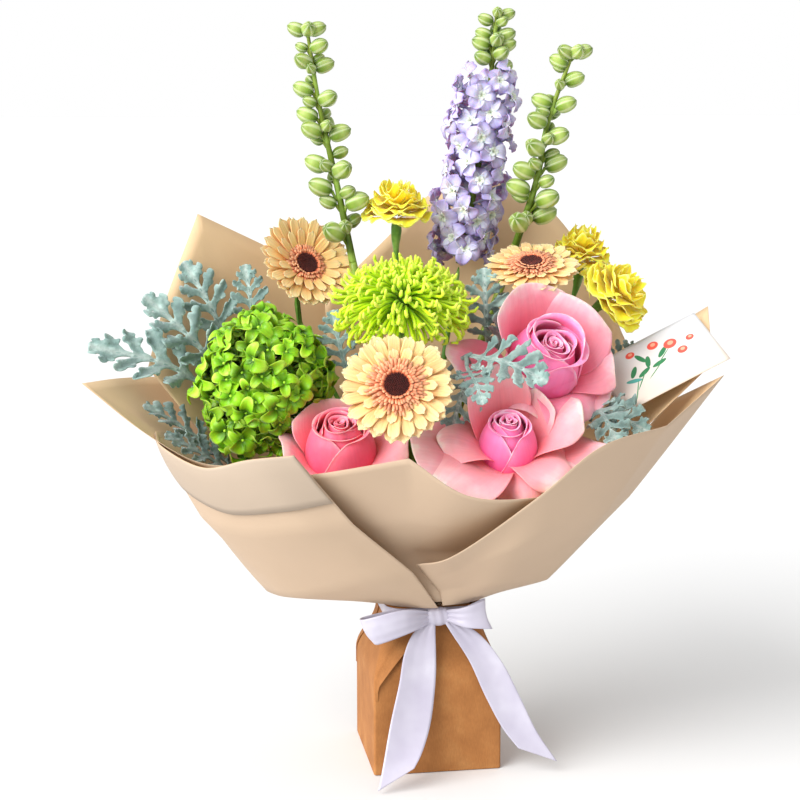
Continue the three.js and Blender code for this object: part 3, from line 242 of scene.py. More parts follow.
def petal_material(name, stops, roughness, veins, vein_depth=0.25, shade_spread=0.25, soft=0.12, sheen=0.15,
                   bud=None, speckle=None, bands=None):
    material, shader = new_material(name)
    marks = add(material, "Attribute", {"attribute_name": "petal"}).outputs["Vector"]
    across, along, shade = add(material, "SeparateXYZ", Vector=marks).outputs
    squeezed = add(material, "VectorMath", {"operation": "MULTIPLY"}, _0=marks,
                   _1=(veins, 1.6, 37)).outputs[0]
    vein = add(material, "TexNoise", Vector=squeezed, Scale=1.0, Detail=3.0).outputs["Fac"]
    place = add(material, "TexCoord").outputs["Object"]
    mottle = add(material, "TexNoise", Vector=place, Scale=90.0, Detail=2.0).outputs["Fac"]
    wander = add(material, "Math", {"operation": "MULTIPLY_ADD"}, _0=mottle, _1=0.3, _2=-0.15).outputs[0]
    reach = add(material, "Math", {"operation": "ADD", "use_clamp": True}, _0=along, _1=wander).outputs[0]
    colour = add(material, "ValToRGB", {"stops": stops}, Fac=reach).outputs["Color"]
    if bud:  # petals with a high shade number belong to the bud and have colours of their own
        inner = add(material, "MapRange", Value=shade, From_Min=0.5, From_Max=0.75).outputs[0]
        heart = add(material, "ValToRGB", {"stops": bud}, Fac=reach).outputs["Color"]
        colour = add(material, "Mix", BLEND, _0=inner, _6=colour, _7=heart).outputs[2]
    # the shade number tints a whole piece darker or paler: at random in most flowers, painted shade in the
    # hydrangea and the rose guards
    darker, paler = 1 - shade_spread, 1 + shade_spread * 0.45
    tint = add(material, "MapRange", Value=shade, To_Min=darker, To_Max=paler).outputs[0]
    colour = add(material, "Mix", TIMES, _0=1.0, _6=colour, _7=tint).outputs[2]
    darker, paler = 1 - vein_depth, 1 + vein_depth * 0.3
    lines = add(material, "MapRange", Value=vein, From_Min=0.35, From_Max=0.7, To_Min=darker, To_Max=paler)
    colour = add(material, "Mix", TIMES, _0=1.0, _6=colour, _7=lines.outputs[0]).outputs[2]
    if bands:  # pale stripes along the ridges of a bud
        pale, ridges, strength = bands
        turns = add(material, "Math", {"operation": "MULTIPLY"}, _0=across,
                    _1=2 * math.pi * ridges).outputs[0]
        ridge = add(material, "Math", {"operation": "COSINE"}, _0=turns).outputs[0]
        share = add(material, "MapRange", Value=ridge, From_Min=0.1, From_Max=0.95,
                    To_Max=strength).outputs[0]
        colour = add(material, "Mix", BLEND, _0=share, _6=colour, _7=linear(pale)).outputs[2]
    if speckle:  # pale dots in the skin of a stem
        pale, scale = speckle
        dots = add(material, "TexNoise", Vector=place, Scale=scale, Detail=2.0).outputs["Fac"]
        share = add(material, "MapRange", Value=dots, From_Min=0.52, From_Max=0.68).outputs[0]
        colour = add(material, "Mix", BLEND, _0=share, _6=colour, _7=linear(pale)).outputs[2]
    bump = add(material, "Bump", Height=vein, Strength=0.35, Distance=0.0006).outputs[0]
    give(material, shader, Base_Color=colour, Roughness=roughness, IOR=WET_CELL_IOR, Subsurface_Weight=soft,
         Subsurface_Scale=0.004, Sheen_Weight=sheen, Sheen_Roughness=0.4, Normal=bump)
    return material


# %% [markdown]
# ## Stems
# A cut stem is a smooth round rod with a waxy skin. The frame's stems have five flat sides and stand where
# they should, so each one is copied, welded and rounded by subdivision, which keeps its line.

# %% Waxy green stems
stem_green = petal_material("fresh_stem_waxy_skin", [[0, "#2F6420"], [0.5, "#4B8A2C"], [1, "#6BA13C"]],
                            roughness=0.38, veins=8, soft=0.05, sheen=0.0, speckle=("#8FB65A", 60.0))

WELD = 2e-5  # corners of a solid that are this close, in metres, are one


def rounded_copy(node, name, material, slot, levels):
    """A smooth copy of a solid whose facets stand for a round piece."""
    solid = nodes[node].data
    points = np.array([v.co for v in solid.vertices])
    _, first, owner = np.unique(np.round(points / WELD), axis=0, return_index=True, return_inverse=True)
    owner = owner.reshape(-1)
    faces = []
    for polygon in solid.polygons:
        ring = [int(owner[i]) for i in polygon.vertices]
        ring = [a for a, b in zip(ring, ring[1:] + ring[:1]) if a != b]
        if len(ring) > 2:
            faces.append(ring)
    welded = bpy.data.meshes.new(name)
    welded.from_pydata(points[first].tolist(), [], faces)
    heights = points[first][:, 2]
    share = (heights - heights.min()) / max(np.ptp(heights), 1e-6)
    marks = welded.attributes.new("petal", "FLOAT_VECTOR", "POINT")
    middle, shade = np.full_like(share, 0.5), np.full_like(share, 0.6)
    marks.data.foreach_set("vector", np.stack([middle, share, shade], -1).astype(np.float32).ravel())
    welded.shade_smooth()
    return dressed(bpy.data.objects.new(name, welded), material, slot, node, levels=levels)


for node in sorted(nodes):
    if node.endswith("_stem"):
        rounded_copy(node, node + "_round", stem_green, "stem", levels=1)

# %% [markdown]
# ## Roses
# A rose has a bud of a few large petals wound round each other, and guard petals that open outward. The two
# are built differently. A wound petal is a patch of a turned shape: its rim sinks towards both edges, so two
# rims cross in a V, and its first edge lies outside its neighbour, which draws the spiral. A guard petal is a
# bent strip: its middle line turns outward as it climbs, and its cross-section is cupped near the foot and
# rolls back at the rim. Each guard petal has its own row of numbers, because the eye finds repeats at once.

# %% The wound bud
OVERLAP = 0.035  # how far a petal's first edge lies outside its middle, as a share of the bud's radius


def wound_petal(belly, bearing, half, out, top, height, low_dip, high_dip, roll, fold=0.0):
    """Out and top are shares of the bud's radius. The rim sinks by low_dip at its first edge and by high_dip
    at its last, and the first edge lies outside its neighbour."""
    across, along = np.meshgrid(np.linspace(-1, 1, 37), np.linspace(0, 1, 22))
    rim = 1 - low_dip * np.maximum(-across, 0) ** 1.7 - high_dip * np.maximum(across, 0) ** 1.7
    v = along * rim
    wide, narrow = belly * out, belly * top
    profile = [(3, 0), (wide * 0.84, height * 0.16), (wide, height * 0.42),
               (mix(wide, narrow, 0.5), height * 0.8), (narrow, height * 0.95),
               (narrow + roll, height - roll * 0.15)]
    line = spline(profile, np.linspace(0, 1, 80))
    place = v * 79
    k = np.minimum(place.astype(int), 78)
    at = mix(line[k], line[k + 1], (place - k)[..., None])
    lip = 0.9 * ease((along - 0.9) / 0.1)
    turn = np.radians(across * half)
    wave = 0.5 * np.sin(across * 5 + bearing) * v**3
    folded = 1 + fold * np.cos(3 * turn) * ease(v / 0.7)
    radius = at[..., 0] * folded - OVERLAP * belly * across * ease(v / 0.4) + wave + lip
    angle = np.radians(bearing) + turn
    return np.stack([radius * np.cos(angle), radius * np.sin(angle), at[..., 1] + wave - lip * 0.3], -1)


# %% One guard petal
def guard_petal(rng, bearing, long, wide, lean, cup, roll, foot, point=0.0, twist=0.0):
    """Lean is the climb in degrees at the foot and at the rim. Cup is the radius of the hollow at each, and a
    negative one bends away."""
    across, along = np.meshgrid(np.linspace(-1, 1, 23), np.linspace(0, 1, 24))
    v = along * (1 - 0.17 * np.abs(across) ** 2.4 * (1 - 0.3 * point))
    steps = np.linspace(0, 1, 81)
    climb = np.radians(mix(lean[0], lean[1], steps**1.5))
    r = foot[0] + long * np.concatenate([[0], np.cumsum(np.cos(climb[1:]))]) / 80
    z = foot[1] + long * np.concatenate([[0], np.cumsum(np.sin(climb[1:]))]) / 80
    half = wide / 2 * (0.34 + 0.66 * np.sin(np.clip(v / 0.62, 0, 1) * np.pi / 2)) * (
        1 - (0.22 + 0.5 * point) * ease((v - 0.6) / 0.4))
    bow = mix(1 / cup[0], 1 / cup[1], ease(v))
    s = across * half
    side = np.where(np.abs(bow) > 1e-4, np.sin(bow * s) / np.where(np.abs(bow) > 1e-4, bow, 1), s)
    hollow = bow * s * s / 2
    phase = rng.uniform(0, 6)
    tip = roll * 0.5 * np.clip((v - 0.82) / 0.18, 0, 1) ** 2
    edge = roll * np.abs(across) ** 3 * ease((v - 0.3) / 0.6) + tip
    wave = 1.7 * np.sin(across * 4.4 + phase) * ease((v - 0.4) / 0.6) + 0.6 * np.sin(v * 9 + phase)
    out = edge + wave + twist * across * v - hollow
    slope = np.interp(v, steps, climb)
    reach = np.interp(v, steps, r) + np.sin(slope) * out
    height = np.interp(v, steps, z) - np.cos(slope) * out
    a = math.radians(bearing)
    return np.stack([reach * math.cos(a) - side * math.sin(a), reach * math.sin(a) + side * math.cos(a),
                     height], -1)


# %% Bud and guards together
GOLDEN_DEGREES, GOLDEN = 137.5, 2.39996  # the turn from one petal or floret to the next, as plants make it


def inner_petals(first, count, top, low, high, start):
    """The petals round the heart: each is narrower than the last, wraps further, and peaks elsewhere."""
    for k in range(count):
        t = k / (count - 1)
        yield (start + GOLDEN_DEGREES * k, mix(112, 175, t), mix(first, 0.2, t), mix(top, 0.05, t**0.9),
               mix(low, high, t), mix(0.22, 0.07, t), mix(0.26, 0.09, t), mix(1.2, 0.5, t), 0.11)


def rose(name, base, facing, size, belly, wraps, hearts, guards, material, seed):
    """Wraps are the outer petals of the bud, hearts says how the inner ones run on from them."""
    rng = random.Random(seed)
    bloom = Growth()
    for k, row in enumerate([*wraps, *inner_petals(*hearts)]):
        bloom.sheet(wound_petal(belly, *row) * size, shade=min(0.78 + 0.02 * k, 0.98))
    for shade, *numbers, options in guards:
        bloom.sheet(guard_petal(rng, *numbers, **options), shade=shade)
    cup = [(np.cos(t) * r, np.sin(t) * r, z) for r, z in ((1, -9), (6, -7), (9, 0), (4, 3))
           for t in np.linspace(0, 2 * np.pi, 16, endpoint=False)]
    bloom.sheet(np.array(cup).reshape(4, 16, 3), 0.05, wrap=True)
    bloom.moved(head_turn(facing), base)
    return bloom.piece(name + "_petals", material, "rose", name + "_bloom", thick=0.45, levels=1)


def rose_colour(name, guard_stops, bud_stops):
    return petal_material(name, guard_stops, roughness=0.5, veins=34, vein_depth=0.05, shade_spread=0.1,
                          soft=0.25, sheen=0.25, bud=bud_stops)


# The guard colours run from a deep foot to a near-white rim: partly the petals' own colour, partly painted
# shade at the foot and a painted highlight on the rim.
BLUSH = rose_colour("rose_petal_blush",
                    [[0.0, "#F87C70"], [0.3, "#F8858C"], [0.7, "#FF9FA8"], [0.94, "#FFC4C8"],
                     [1.0, "#FFE2DA"]],
                    [[0.0, "#E8307C"], [0.5, "#FC6CA8"], [0.85, "#FF84B6"], [0.96, "#FF9CC4"],
                     [1.0, "#FFC4DA"]])
PINK = rose_colour("rose_petal_pink",
                   [[0.0, "#F26A84"], [0.4, "#F6849A"], [0.8, "#FF9CAC"], [0.95, "#FFBAC4"],
                    [1.0, "#FFD6D2"]],
                   [[0.0, "#E62C74"], [0.5, "#FC6CA4"], [0.85, "#FF86B8"], [0.96, "#FF9AC2"],
                    [1.0, "#FFC2D6"]])
CORAL_PINK = rose_colour("rose_petal_coral_pink",
                         [[0.0, "#F9728C"], [0.4, "#FD8C98"], [0.8, "#FFA6B0"], [1.0, "#FFC8C4"]],
                         [[0.0, "#DE2450"], [0.5, "#FA5A7C"], [0.85, "#FF748E"], [0.96, "#FF8CA0"],
                          [1.0, "#FFB0B6"]])

# %% The three roses
# wraps: bearing, half width, radius at belly and rim, height, how far the rim sinks at each edge, roll
# hearts: radius of the first inner petal, how many, radius of its rim, first and last height, first bearing
# guards: shade, bearing, length, width, climb at foot and rim, hollow at foot and rim, and what else differs;
# the shade is painted shade, low for petals that lie underneath or behind and higher for those on top
FRONT_WRAPS = [(342, 108, 1.03, 0.66, 52, 0.95, 0.22, 1.6), (195, 108, 0.98, 0.63, 53, 0.18, 0.75, 1.6),
               (266, 104, 0.90, 0.52, 51, 0.35, 0.35, 1.4), (62, 112, 0.86, 0.52, 55, 0.3, 0.3, 1.2)]
FRONT_GUARDS = [
    (0.20, 115, 86, 64, (74, 72), (34, 60), dict(roll=2, foot=(13, 4))),
    (0.45, 178, 68, 64, (76, -34), (22, -22), dict(roll=8, twist=-6, foot=(14, 6))),
    (0.10, 188, 82, 74, (38, 14), (40, -70), dict(roll=5, foot=(12, 0))),
    (0.40, 226, 76, 74, (50, -14), (28, -50), dict(roll=5, foot=(13, 3))),
    (0.50, 243, 60, 50, (70, -104), (17, -12), dict(roll=6, foot=(16, 4), twist=8)),
    (0.10, 266, 50, 60, (34, -40), (26, -40), dict(roll=4, foot=(12, -2))),
    (0.50, 287, 66, 50, (66, -98), (17, -12), dict(roll=7, foot=(16, 4), twist=-9)),
    (0.48, 322, 68, 58, (66, -34), (20, -20), dict(roll=8, foot=(14, 4), twist=5)),
    (0.40, 20, 78, 66, (62, 30), (24, -50), dict(roll=7, twist=4, point=0.3, foot=(13, 4))),
    (0.25, 354, 92, 48, (38, 2), (30, -40), dict(roll=7, point=0.95, foot=(12, 0))),
    (0.15, 338, 60, 58, (40, 10), (34, -60), dict(roll=5, foot=(12, 0))),
    (0.15, 62, 66, 66, (66, 60), (36, 60), dict(roll=2, foot=(13, 2))),
]
rose("rose_front", (66, -74, 285), (0.03, -0.53, 0.85), 1.0, 25.5, FRONT_WRAPS, (0.8, 7, 0.44, 55, 58, 150),
     FRONT_GUARDS, BLUSH, 5)
RIGHT_WRAPS = [(232, 112, 1.02, 0.72, 60, 0.10, 0.62, 2.4), (345, 98, 0.98, 0.78, 56, 0.5, 0.12, 5.0),
               (78, 104, 0.95, 0.70, 66, 0.3, 0.3, 3.0), (178, 100, 0.90, 0.60, 63, 0.25, 0.4, 1.6),
               (300, 104, 0.86, 0.54, 55, 0.35, 0.3, 1.4)]
RIGHT_GUARDS = [
    (0.40, 136, 84, 104, (66, 60), (40, 70), dict(roll=4, foot=(17, 2))),
    (0.15, 72, 80, 92, (70, 58), (40, -90), dict(roll=5, foot=(15, 2), twist=4)),
    (0.25, 22, 64, 74, (60, 36), (30, -50), dict(roll=6, foot=(17, 2))),
    (0.55, 312, 60, 70, (66, -30), (30, -26), dict(roll=8, foot=(20, 4), twist=3)),
    (0.20, 188, 82, 60, (30, 14), (36, -60), dict(roll=4, point=0.5, foot=(14, -2))),
    (0.10, 350, 60, 60, (44, 14), (40, -70), dict(roll=5, point=0.3, foot=(14, -3))),
    (0.15, 262, 44, 60, (50, 0), (34, -50), dict(roll=5, foot=(14, -2))),
]
rose("rose_right", (92, -30, 347), (0.28, -0.56, 0.78), 1.06, 31, RIGHT_WRAPS, (0.8, 8, 0.52, 57, 56, 40),
     RIGHT_GUARDS, PINK, 9)
LEFT_WRAPS = [(330, 106, 1.03, 0.74, 56, 0.85, 0.2, 3.0), (200, 104, 0.99, 0.70, 57, 0.15, 0.66, 2.4),
              (262, 102, 0.92, 0.60, 55, 0.4, 0.35, 1.6), (80, 110, 0.90, 0.62, 61, 0.3, 0.3, 1.8)]
LEFT_GUARDS = [
    (0.48, 4, 66, 62, (66, 30), (28, -40), dict(roll=6, foot=(18, 4))),
    (0.35, 330, 62, 58, (56, 4), (26, -40), dict(roll=6, foot=(16, 1))),
    (0.20, 120, 58, 74, (70, 60), (34, 80), dict(roll=3, foot=(16, 4))),
    (0.15, 188, 56, 62, (62, 34), (30, -60), dict(roll=4, foot=(16, 2))),
    (0.20, 236, 46, 58, (54, 14), (28, -50), dict(roll=5, foot=(15, 0))),
]
rose("rose_left", (-77, -64, 274), (0.02, -0.42, 0.91), 1.0, 31, LEFT_WRAPS, (0.84, 8, 0.5, 59, 60, 100),
     LEFT_GUARDS, CORAL_PINK, 3)

# %% [markdown]
# ## Gerberas
# A gerbera is a flat disc of florets. The rays are straps about 12 mm wide with long grooves and a blunt,
# toothed tip, in two overlapping rows with a shorter third on top. Inside them stand rings of short coral
# florets, and the eye is packed with dark buds. Each strap is a grid with a grooved cross-section, so the
# grooves catch real light.

# %% Rays, crown and eye
peach_ray = petal_material("gerbera_ray_peach",
                           [[0.0, "#F08A44"], [0.22, "#FCB468"], [0.6, "#FFD290"], [1.0, "#FFE6B4"]],
                           roughness=0.5, veins=9, vein_depth=0.16, shade_spread=0.14, soft=0.25)
coral_floret = petal_material("gerbera_crown_coral", [[0.0, "#C2412A"], [0.45, "#EF7A4E"], [1.0, "#FBB98C"]],
                              roughness=0.5, veins=4, vein_depth=0.15, shade_spread=0.3)
dark_floret = petal_material("gerbera_eye_dark_buds", [[0.0, "#1A0507"], [0.6, "#3A0A0C"], [1.0, "#7C2E20"]],
                             roughness=0.55, veins=3, vein_depth=0.1, shade_spread=0.5, soft=0.02)


def strap(rng, bearing, start, end, width, lift, rise):
    across, along = np.meshgrid(np.linspace(-1, 1, 9), np.sin(np.linspace(0, np.pi / 2, 17)))
    blunt = 1 - 0.05 * np.abs(across) ** 2 - 0.012 * np.cos(across * 9.4)
    r = mix(start, end * blunt, along)
    tip = np.clip(1 - np.clip((along - 0.86) / 0.14, 0, 1) ** 2.6, 0.03, 1) ** 0.5
    wide = width * (0.4 + 0.6 * ease(along / 0.6)) * tip
    side = across * wide / 2
    groove = 0.16 * np.cos(across * 2 * np.pi * 1.25) * ease(along * 4) * (1 - 0.6 * along)
    droop = rng.uniform(-0.05, 0.05) * (r - start) * along + rng.uniform(-1.2, 0.6) * along**3
    cup = 0.05 * np.abs(across) ** 2 * wide * along
    z = rise + (r - start) * lift + groove + droop + cup + side * 0.12
    a = math.radians(bearing)
    return np.stack([r * math.cos(a) - side * math.sin(a), r * math.sin(a) + side * math.cos(a), z], -1)


RAY_ROWS = [(22, 1.0, 2.0), (21, 0.96, 3.4), (15, 0.70, 4.8)]  # count, reach as a share of the radius, height
# count, first and last share of the radius, first and last height
CROWN_RINGS = [(38, 0.21, 0.54, 6.2, 8.4), (42, 0.21, 0.46, 6.6, 9.8), (42, 0.20, 0.37, 7.0, 11.0),
               (36, 0.18, 0.28, 7.4, 11.6)]
EYE_BUDS, EYE_SHARE = 180, 0.2


def gerbera(name, radius, cup, base, facing, seed):
    rng = random.Random(seed)
    turn = head_turn(facing)
    rays = Growth()
    hub = radius * EYE_SHARE
    for row, (count, reach, rise) in enumerate(RAY_ROWS):
        for k in range(count):
            bearing = 360 * (k + 0.5 * row) / count + rng.uniform(-3, 3)
            end = radius * reach * rng.uniform(0.94, 1.0)
            width, lift = radius * mix(0.25, 0.17, row / 2), cup + row * 0.07
            rays.sheet(strap(rng, bearing, hub * 0.7, end, width, lift, rise), rng.random())
    dish = [(np.cos(t) * r, np.sin(t) * r, z) for r, z in ((0.5, 1), (hub, 1.4), (hub, 5.4), (0.5, 5.8))
            for t in np.linspace(0, 2 * np.pi, 20, endpoint=False)]
    rays.sheet(np.array(dish).reshape(4, 20, 3), 0.2, wrap=True)
    rays.moved(turn, base).piece(name + "_ray_florets", peach_ray, "peach", name + "_rays", thick=0.5)
    crown = Growth()
    for ring, (count, r0, r1, z0, z1) in enumerate(CROWN_RINGS):
        for k in range(count):
            a = 2 * math.pi * (k + 0.5 * ring) / count + rng.uniform(-0.05, 0.05)
            out = np.array([math.cos(a), math.sin(a), 0])
            side = np.array([-out[1], out[0], 0])
            t = np.linspace(0, 1, 6)[:, None]
            reach = radius * mix(r0, r1 * rng.uniform(0.9, 1.05), t)
            line = out * reach + [0, 0, 1] * mix(z0, z1, np.sin(t * 1.9)) + side * rng.uniform(-0.6, 0.6) * t
            wide = radius * 0.017 * (0.6 + 0.9 * np.sin(t * 2.6))
            keeled = np.stack([line - side * wide, line + [0, 0, 0.35], line + side * wide], 1)
            crown.sheet(keeled, rng.random())
    crown.moved(turn, base).piece(name + "_crown_florets", coral_floret, "coral", name + "_crown", thick=0.35)
    eye = Growth()
    for k in range(EYE_BUDS):
        r = hub * math.sqrt((k + 0.5) / EYE_BUDS)
        a = k * GOLDEN
        foot = np.array([r * math.cos(a), r * math.sin(a), 6.6])
        length = mix(2.4, 4.6, r / hub) + rng.uniform(-0.3, 0.3)
        top = foot * [1.04, 1.04, 1] + [0, 0, length]
        eye.tube([foot, mix(foot, top, 0.7), top, top + [0, 0, 0.5]], [0.7, 0.75, 0.6, 0.15], 5, rng.random())
    eye.moved(turn, base).piece(name + "_eye_buds", dark_floret, "eye", name + "_eye")


gerbera("gerbera_front", 50, 0.0, (-28, -123, 362.5), (0, -0.857, 0.515), 11)
gerbera("gerbera_left", 48, 0.28, (-114, 43, 446), (0.46, -0.70, 0.55), 12)
gerbera("gerbera_right", 45, 0.04, (93, 8, 447), (-0.05, -0.38, 0.92), 13)

# %% [markdown]
# ## Spider chrysanthemum
# The bloom is a dome of some four hundred tubular florets. They start close together on a small core, run
# outward, and hook up at the tip, where the tube opens like a spoon. Lengths grow from the crown to the
# outside. Each is a bent tube of six sides, which is enough for a quill 2 to 3 mm thick.

# %% Quilled florets
lime_quill = petal_material("chrysanthemum_quill_lime",
                            [[0.0, "#9CCC00"], [0.3, "#B8E408"], [0.8, "#CEF01C"], [1.0, "#E2F858"]],
                            roughness=0.4, veins=3, vein_depth=0.05, shade_spread=0.25, soft=0.15)

QUILLS, QUILL_STEPS = 400, 13


def chrysanthemum():
    rng = random.Random(21)
    bloom = Growth()
    t = np.linspace(0, 1, QUILL_STEPS)
    for k in range(QUILLS):
        share = (k + 0.5) / QUILLS  # 0 in the middle of the crown, 1 at the outermost quill
        a = k * GOLDEN + rng.uniform(-0.05, 0.05)
        out = np.array([math.cos(a), math.sin(a), 0])
        climb = mix(88, -22, share**0.62) + rng.uniform(-5, 5)
        room = 0.86 if out[1] < -0.6 and share > 0.5 else 1.0  # the front quills press on the gerbera
        length = room * mix(33, 61, min(share * 1.7, 1) ** 0.8) * rng.uniform(0.82, 1.04)
        hook = rng.choice([-1, 1, 1]) * rng.uniform(60, 150)
        slope = np.radians(climb + mix(22, -34, t) + hook * np.clip((t - 0.8) / 0.2, 0, 1) ** 1.5)
        step = length / (QUILL_STEPS - 1)
        core_edge = 7 * math.cos(math.radians(max(climb, 0)))
        reach = core_edge + np.concatenate([[0], np.cumsum(np.cos(slope[1:]) * step)])
        rise = mix(9, 2, share) + np.concatenate([[0], np.cumsum(np.sin(slope[1:]) * step)])
        side = np.array([-out[1], out[0], 0]) * rng.uniform(-7, 7)
        line = out * reach[:, None] + [0, 0, 1] * rise[:, None] + side * (t[:, None] ** 2)
        wide = np.interp(t, [0, 0.6, 0.86, 0.95, 1], [0.9, 1.3, 1.45, 1.85, 0.9])
        bloom.tube(line + [0, 0, 8], wide, 6, rng.random())
    core = [(np.cos(q) * r, np.sin(q) * r, z)
            for r, z in ((0.5, 1), (9, 3), (13, 8), (13, 12), (8, 17), (0.5, 19))
            for q in np.linspace(0, 2 * np.pi, 18, endpoint=False)]
    bloom.sheet(np.array(core).reshape(6, 18, 3), 0.0, wrap=True)
    bloom.moved(head_turn((0, -0.3, 0.95)), (-23, -47, 412))
    bloom.piece("chrysanthemum_quills", lime_quill, "lime", "chrysanthemum_bloom")


chrysanthemum()

# %% [markdown]
# ## Green hydrangea
# A young hydrangea head is an egg of small florets, each of four thick, rounded sepals 12 to 16 mm long round
# a bead. They face outward and jostle, so their tilt, size and depth vary, and the deeper ones are coloured
# darker, which is painted shade. The frame's solid is the same head with fewer florets, and this one fills
# its surface.

# %% Florets over an egg
hydrangea_green = petal_material("hydrangea_sepal_green",
                                 [[0.0, "#365F02"], [0.28, "#6CAA08"], [0.75, "#A0DA1E"], [1.0, "#C8EE52"]],
                                 roughness=0.4, veins=7, vein_depth=0.16, shade_spread=0.5, soft=0.15)


def sepal(length, width, cup, steps=9):
    across, along = np.meshgrid(np.linspace(-1, 1, steps), np.linspace(0, 1, steps))
    outline = np.sqrt(np.clip(1 - np.abs((along - 0.58) / 0.6) ** 2.2, 0.03, 1))
    x = along * length * (1 - 0.12 * across**2)
    y = across * outline * width / 2
    keel = across**2 * outline * length * 0.2  # hollow along the middle
    z = keel + cup * (np.sin(along * 2.6) * 1.1 - along**2 * 0.9)
    return np.stack([x, y, z], -1)


def place_on(grid, centre, facing, start):
    """Puts a piece made round +Z at a centre, with its +Z along facing and its +X towards start."""
    up = unit(facing)
    first = unit(np.asarray(start, float) - up * np.dot(start, up))
    return np.asarray(centre) + grid @ np.array([first, np.cross(up, first), up])


def spun(grid, angle):
    c, s = math.cos(angle), math.sin(angle)
    return grid @ np.array([[c, s, 0], [-s, c, 0], [0, 0, 1]])


HEAD_CENTRE, HEAD_RADII = np.array([-142, -38, 350.0]), np.array([56, 44, 64.0])
ROSE_PLACE, ROSE_ROOM = np.array([-80, -92, 316.0]), 52  # no floret grows where the left rose presses in
STEM_SIDE = np.array([0.25, 0.45, -0.86])
FLORETS = 185


def hydrangea():
    rng = random.Random(31)
    head = Growth()
    for k in range(FLORETS):
        height = 1 - 2 * (k + 0.5) / FLORETS
        ring = math.sqrt(1 - height * height)
        a = k * GOLDEN
        sway, shift = rng.uniform(-0.07, 0.07), rng.uniform(-0.07, 0.07)
        out = unit([ring * math.cos(a) + sway, ring * math.sin(a) + shift, height])
        lump = 0.05 * math.sin(5 * out[0] + 3 * out[2]) + 0.05 * math.cos(6 * out[2] - 4 * out[1])
        depth = rng.uniform(0.82, 1.0)
        place = out * HEAD_RADII * (depth + lump)
        if np.linalg.norm(place + HEAD_CENTRE - ROSE_PLACE) < ROSE_ROOM or np.dot(out, STEM_SIDE) > 0.86:
            continue
        facing = unit(out / HEAD_RADII * 50 + np.array([rng.uniform(-0.65, 0.65) for _ in range(3)]))
        start = np.cross(facing, [0.3, 0.5, 0.8])
        turn, size = rng.uniform(0, 1.5), rng.uniform(11.5, 16.5)
        # florets set deeper into the head get a darker colour: painted shade
        shade = mix(0.0, 1.0, (depth - 0.82) / 0.18) * rng.uniform(0.7, 1)
        for p in range(4):
            grid = sepal(size, size * rng.uniform(0.62, 0.88), rng.uniform(1.0, 7))
            head.sheet(place_on(spun(grid, turn + p * math.pi / 2), place, facing, start), shade)
        t = np.linspace(0, 1, 4)[:, None]
        head.tube(place + facing * mix(-26, 0.5, t), [0.9, 0.8, 0.8, 1.4], 5, 0.15)
        head.tube(place + facing * mix(0.2, 2.2, t), [1.3, 1.6, 1.2, 0.3], 6, 0.9)
    head.moved(np.eye(3), HEAD_CENTRE)
    head.piece("hydrangea_florets", hydrangea_green, "hydrangea", "hydrangea_head", thick=0.4)


hydrangea()

# %% [markdown]
# ## Carnations
# A carnation packs its ruffled petals into a split green cup: here some thirty broad ones. Each petal is a
# fan that folds up and down towards its edge, where it is cut into small teeth. Lower layers reach further
# out.

# %% Ruffled fans
carnation_yellow = petal_material("carnation_petal_yellow",
                                  [[0.0, "#F4CE10"], [0.3, "#FFE022"], [0.85, "#FFEC3C"], [1.0, "#FFF484"]],
                                  roughness=0.55, veins=24, vein_depth=0.05, shade_spread=0.15, soft=0.35)

# count, reach as a share of the radius, height of foot and rim, half width in degrees
RUFFLED_LAYERS = [(6, 1.0, 1, 7, 40), (6, 0.96, 3, 13, 42), (6, 0.86, 5, 18, 44), (5, 0.72, 8, 23, 50),
                  (4, 0.54, 11, 27, 58), (3, 0.36, 14, 30, 72), (3, 0.16, 16, 30, 90)]


def carnation(name, radius, base, facing, seed):
    rng = random.Random(seed)
    bloom = Growth()
    for row, (count, reach, foot, top, half) in enumerate(RUFFLED_LAYERS):
        for k in range(count):
            across, along = np.meshgrid(np.linspace(-1, 1, 45), np.linspace(0, 1, 13))
            bearing = 360 * (k + rng.uniform(-0.15, 0.15)) / count + 23 * row
            phase, folds = rng.uniform(0, 6.3), rng.uniform(3.0, 4.6)
            sway = 3 * np.sin(across * folds * 1.7 + phase) * along
            angle = np.radians(bearing + across * half * (0.35 + 0.65 * along) + sway)
            teeth = 0.03 * np.abs(np.sin(across * 16 + phase)) * ease((along - 0.8) / 0.2)
            cut = 1 - teeth - 0.12 * across**2
            r = 3 + (radius * reach * rng.uniform(0.92, 1.02) - 3) * np.sin(along * 1.57) * cut
            full = ease((along - 0.35) / 0.65)
            wave = np.sin(across * folds + phase) * 2.6 + np.sin(across * folds * 2.2 + phase * 2) * 1.4
            ruffle = wave * full * mix(1, 1.4, row / 5)
            z = mix(foot, top + rng.uniform(-1, 1), along**0.7) - 4.0 * along**4 * (row < 4) + ruffle
            bloom.sheet(np.stack([r * np.cos(angle), r * np.sin(angle), z], -1), rng.random())
    bloom.moved(head_turn(facing), base)
    bloom.piece(name + "_petals", carnation_yellow, "carnation", name + "_bloom", thick=0.4)


carnation("carnation_top", 33, (-28, 50, 491), (0.03, -0.16, 0.98), 41)
carnation("carnation_right", 38, (164, 16, 420), (0.62, -0.4, 0.68), 42)
carnation("carnation_back", 29, (143, 72, 449), (0.1, -0.2, 0.97), 43)
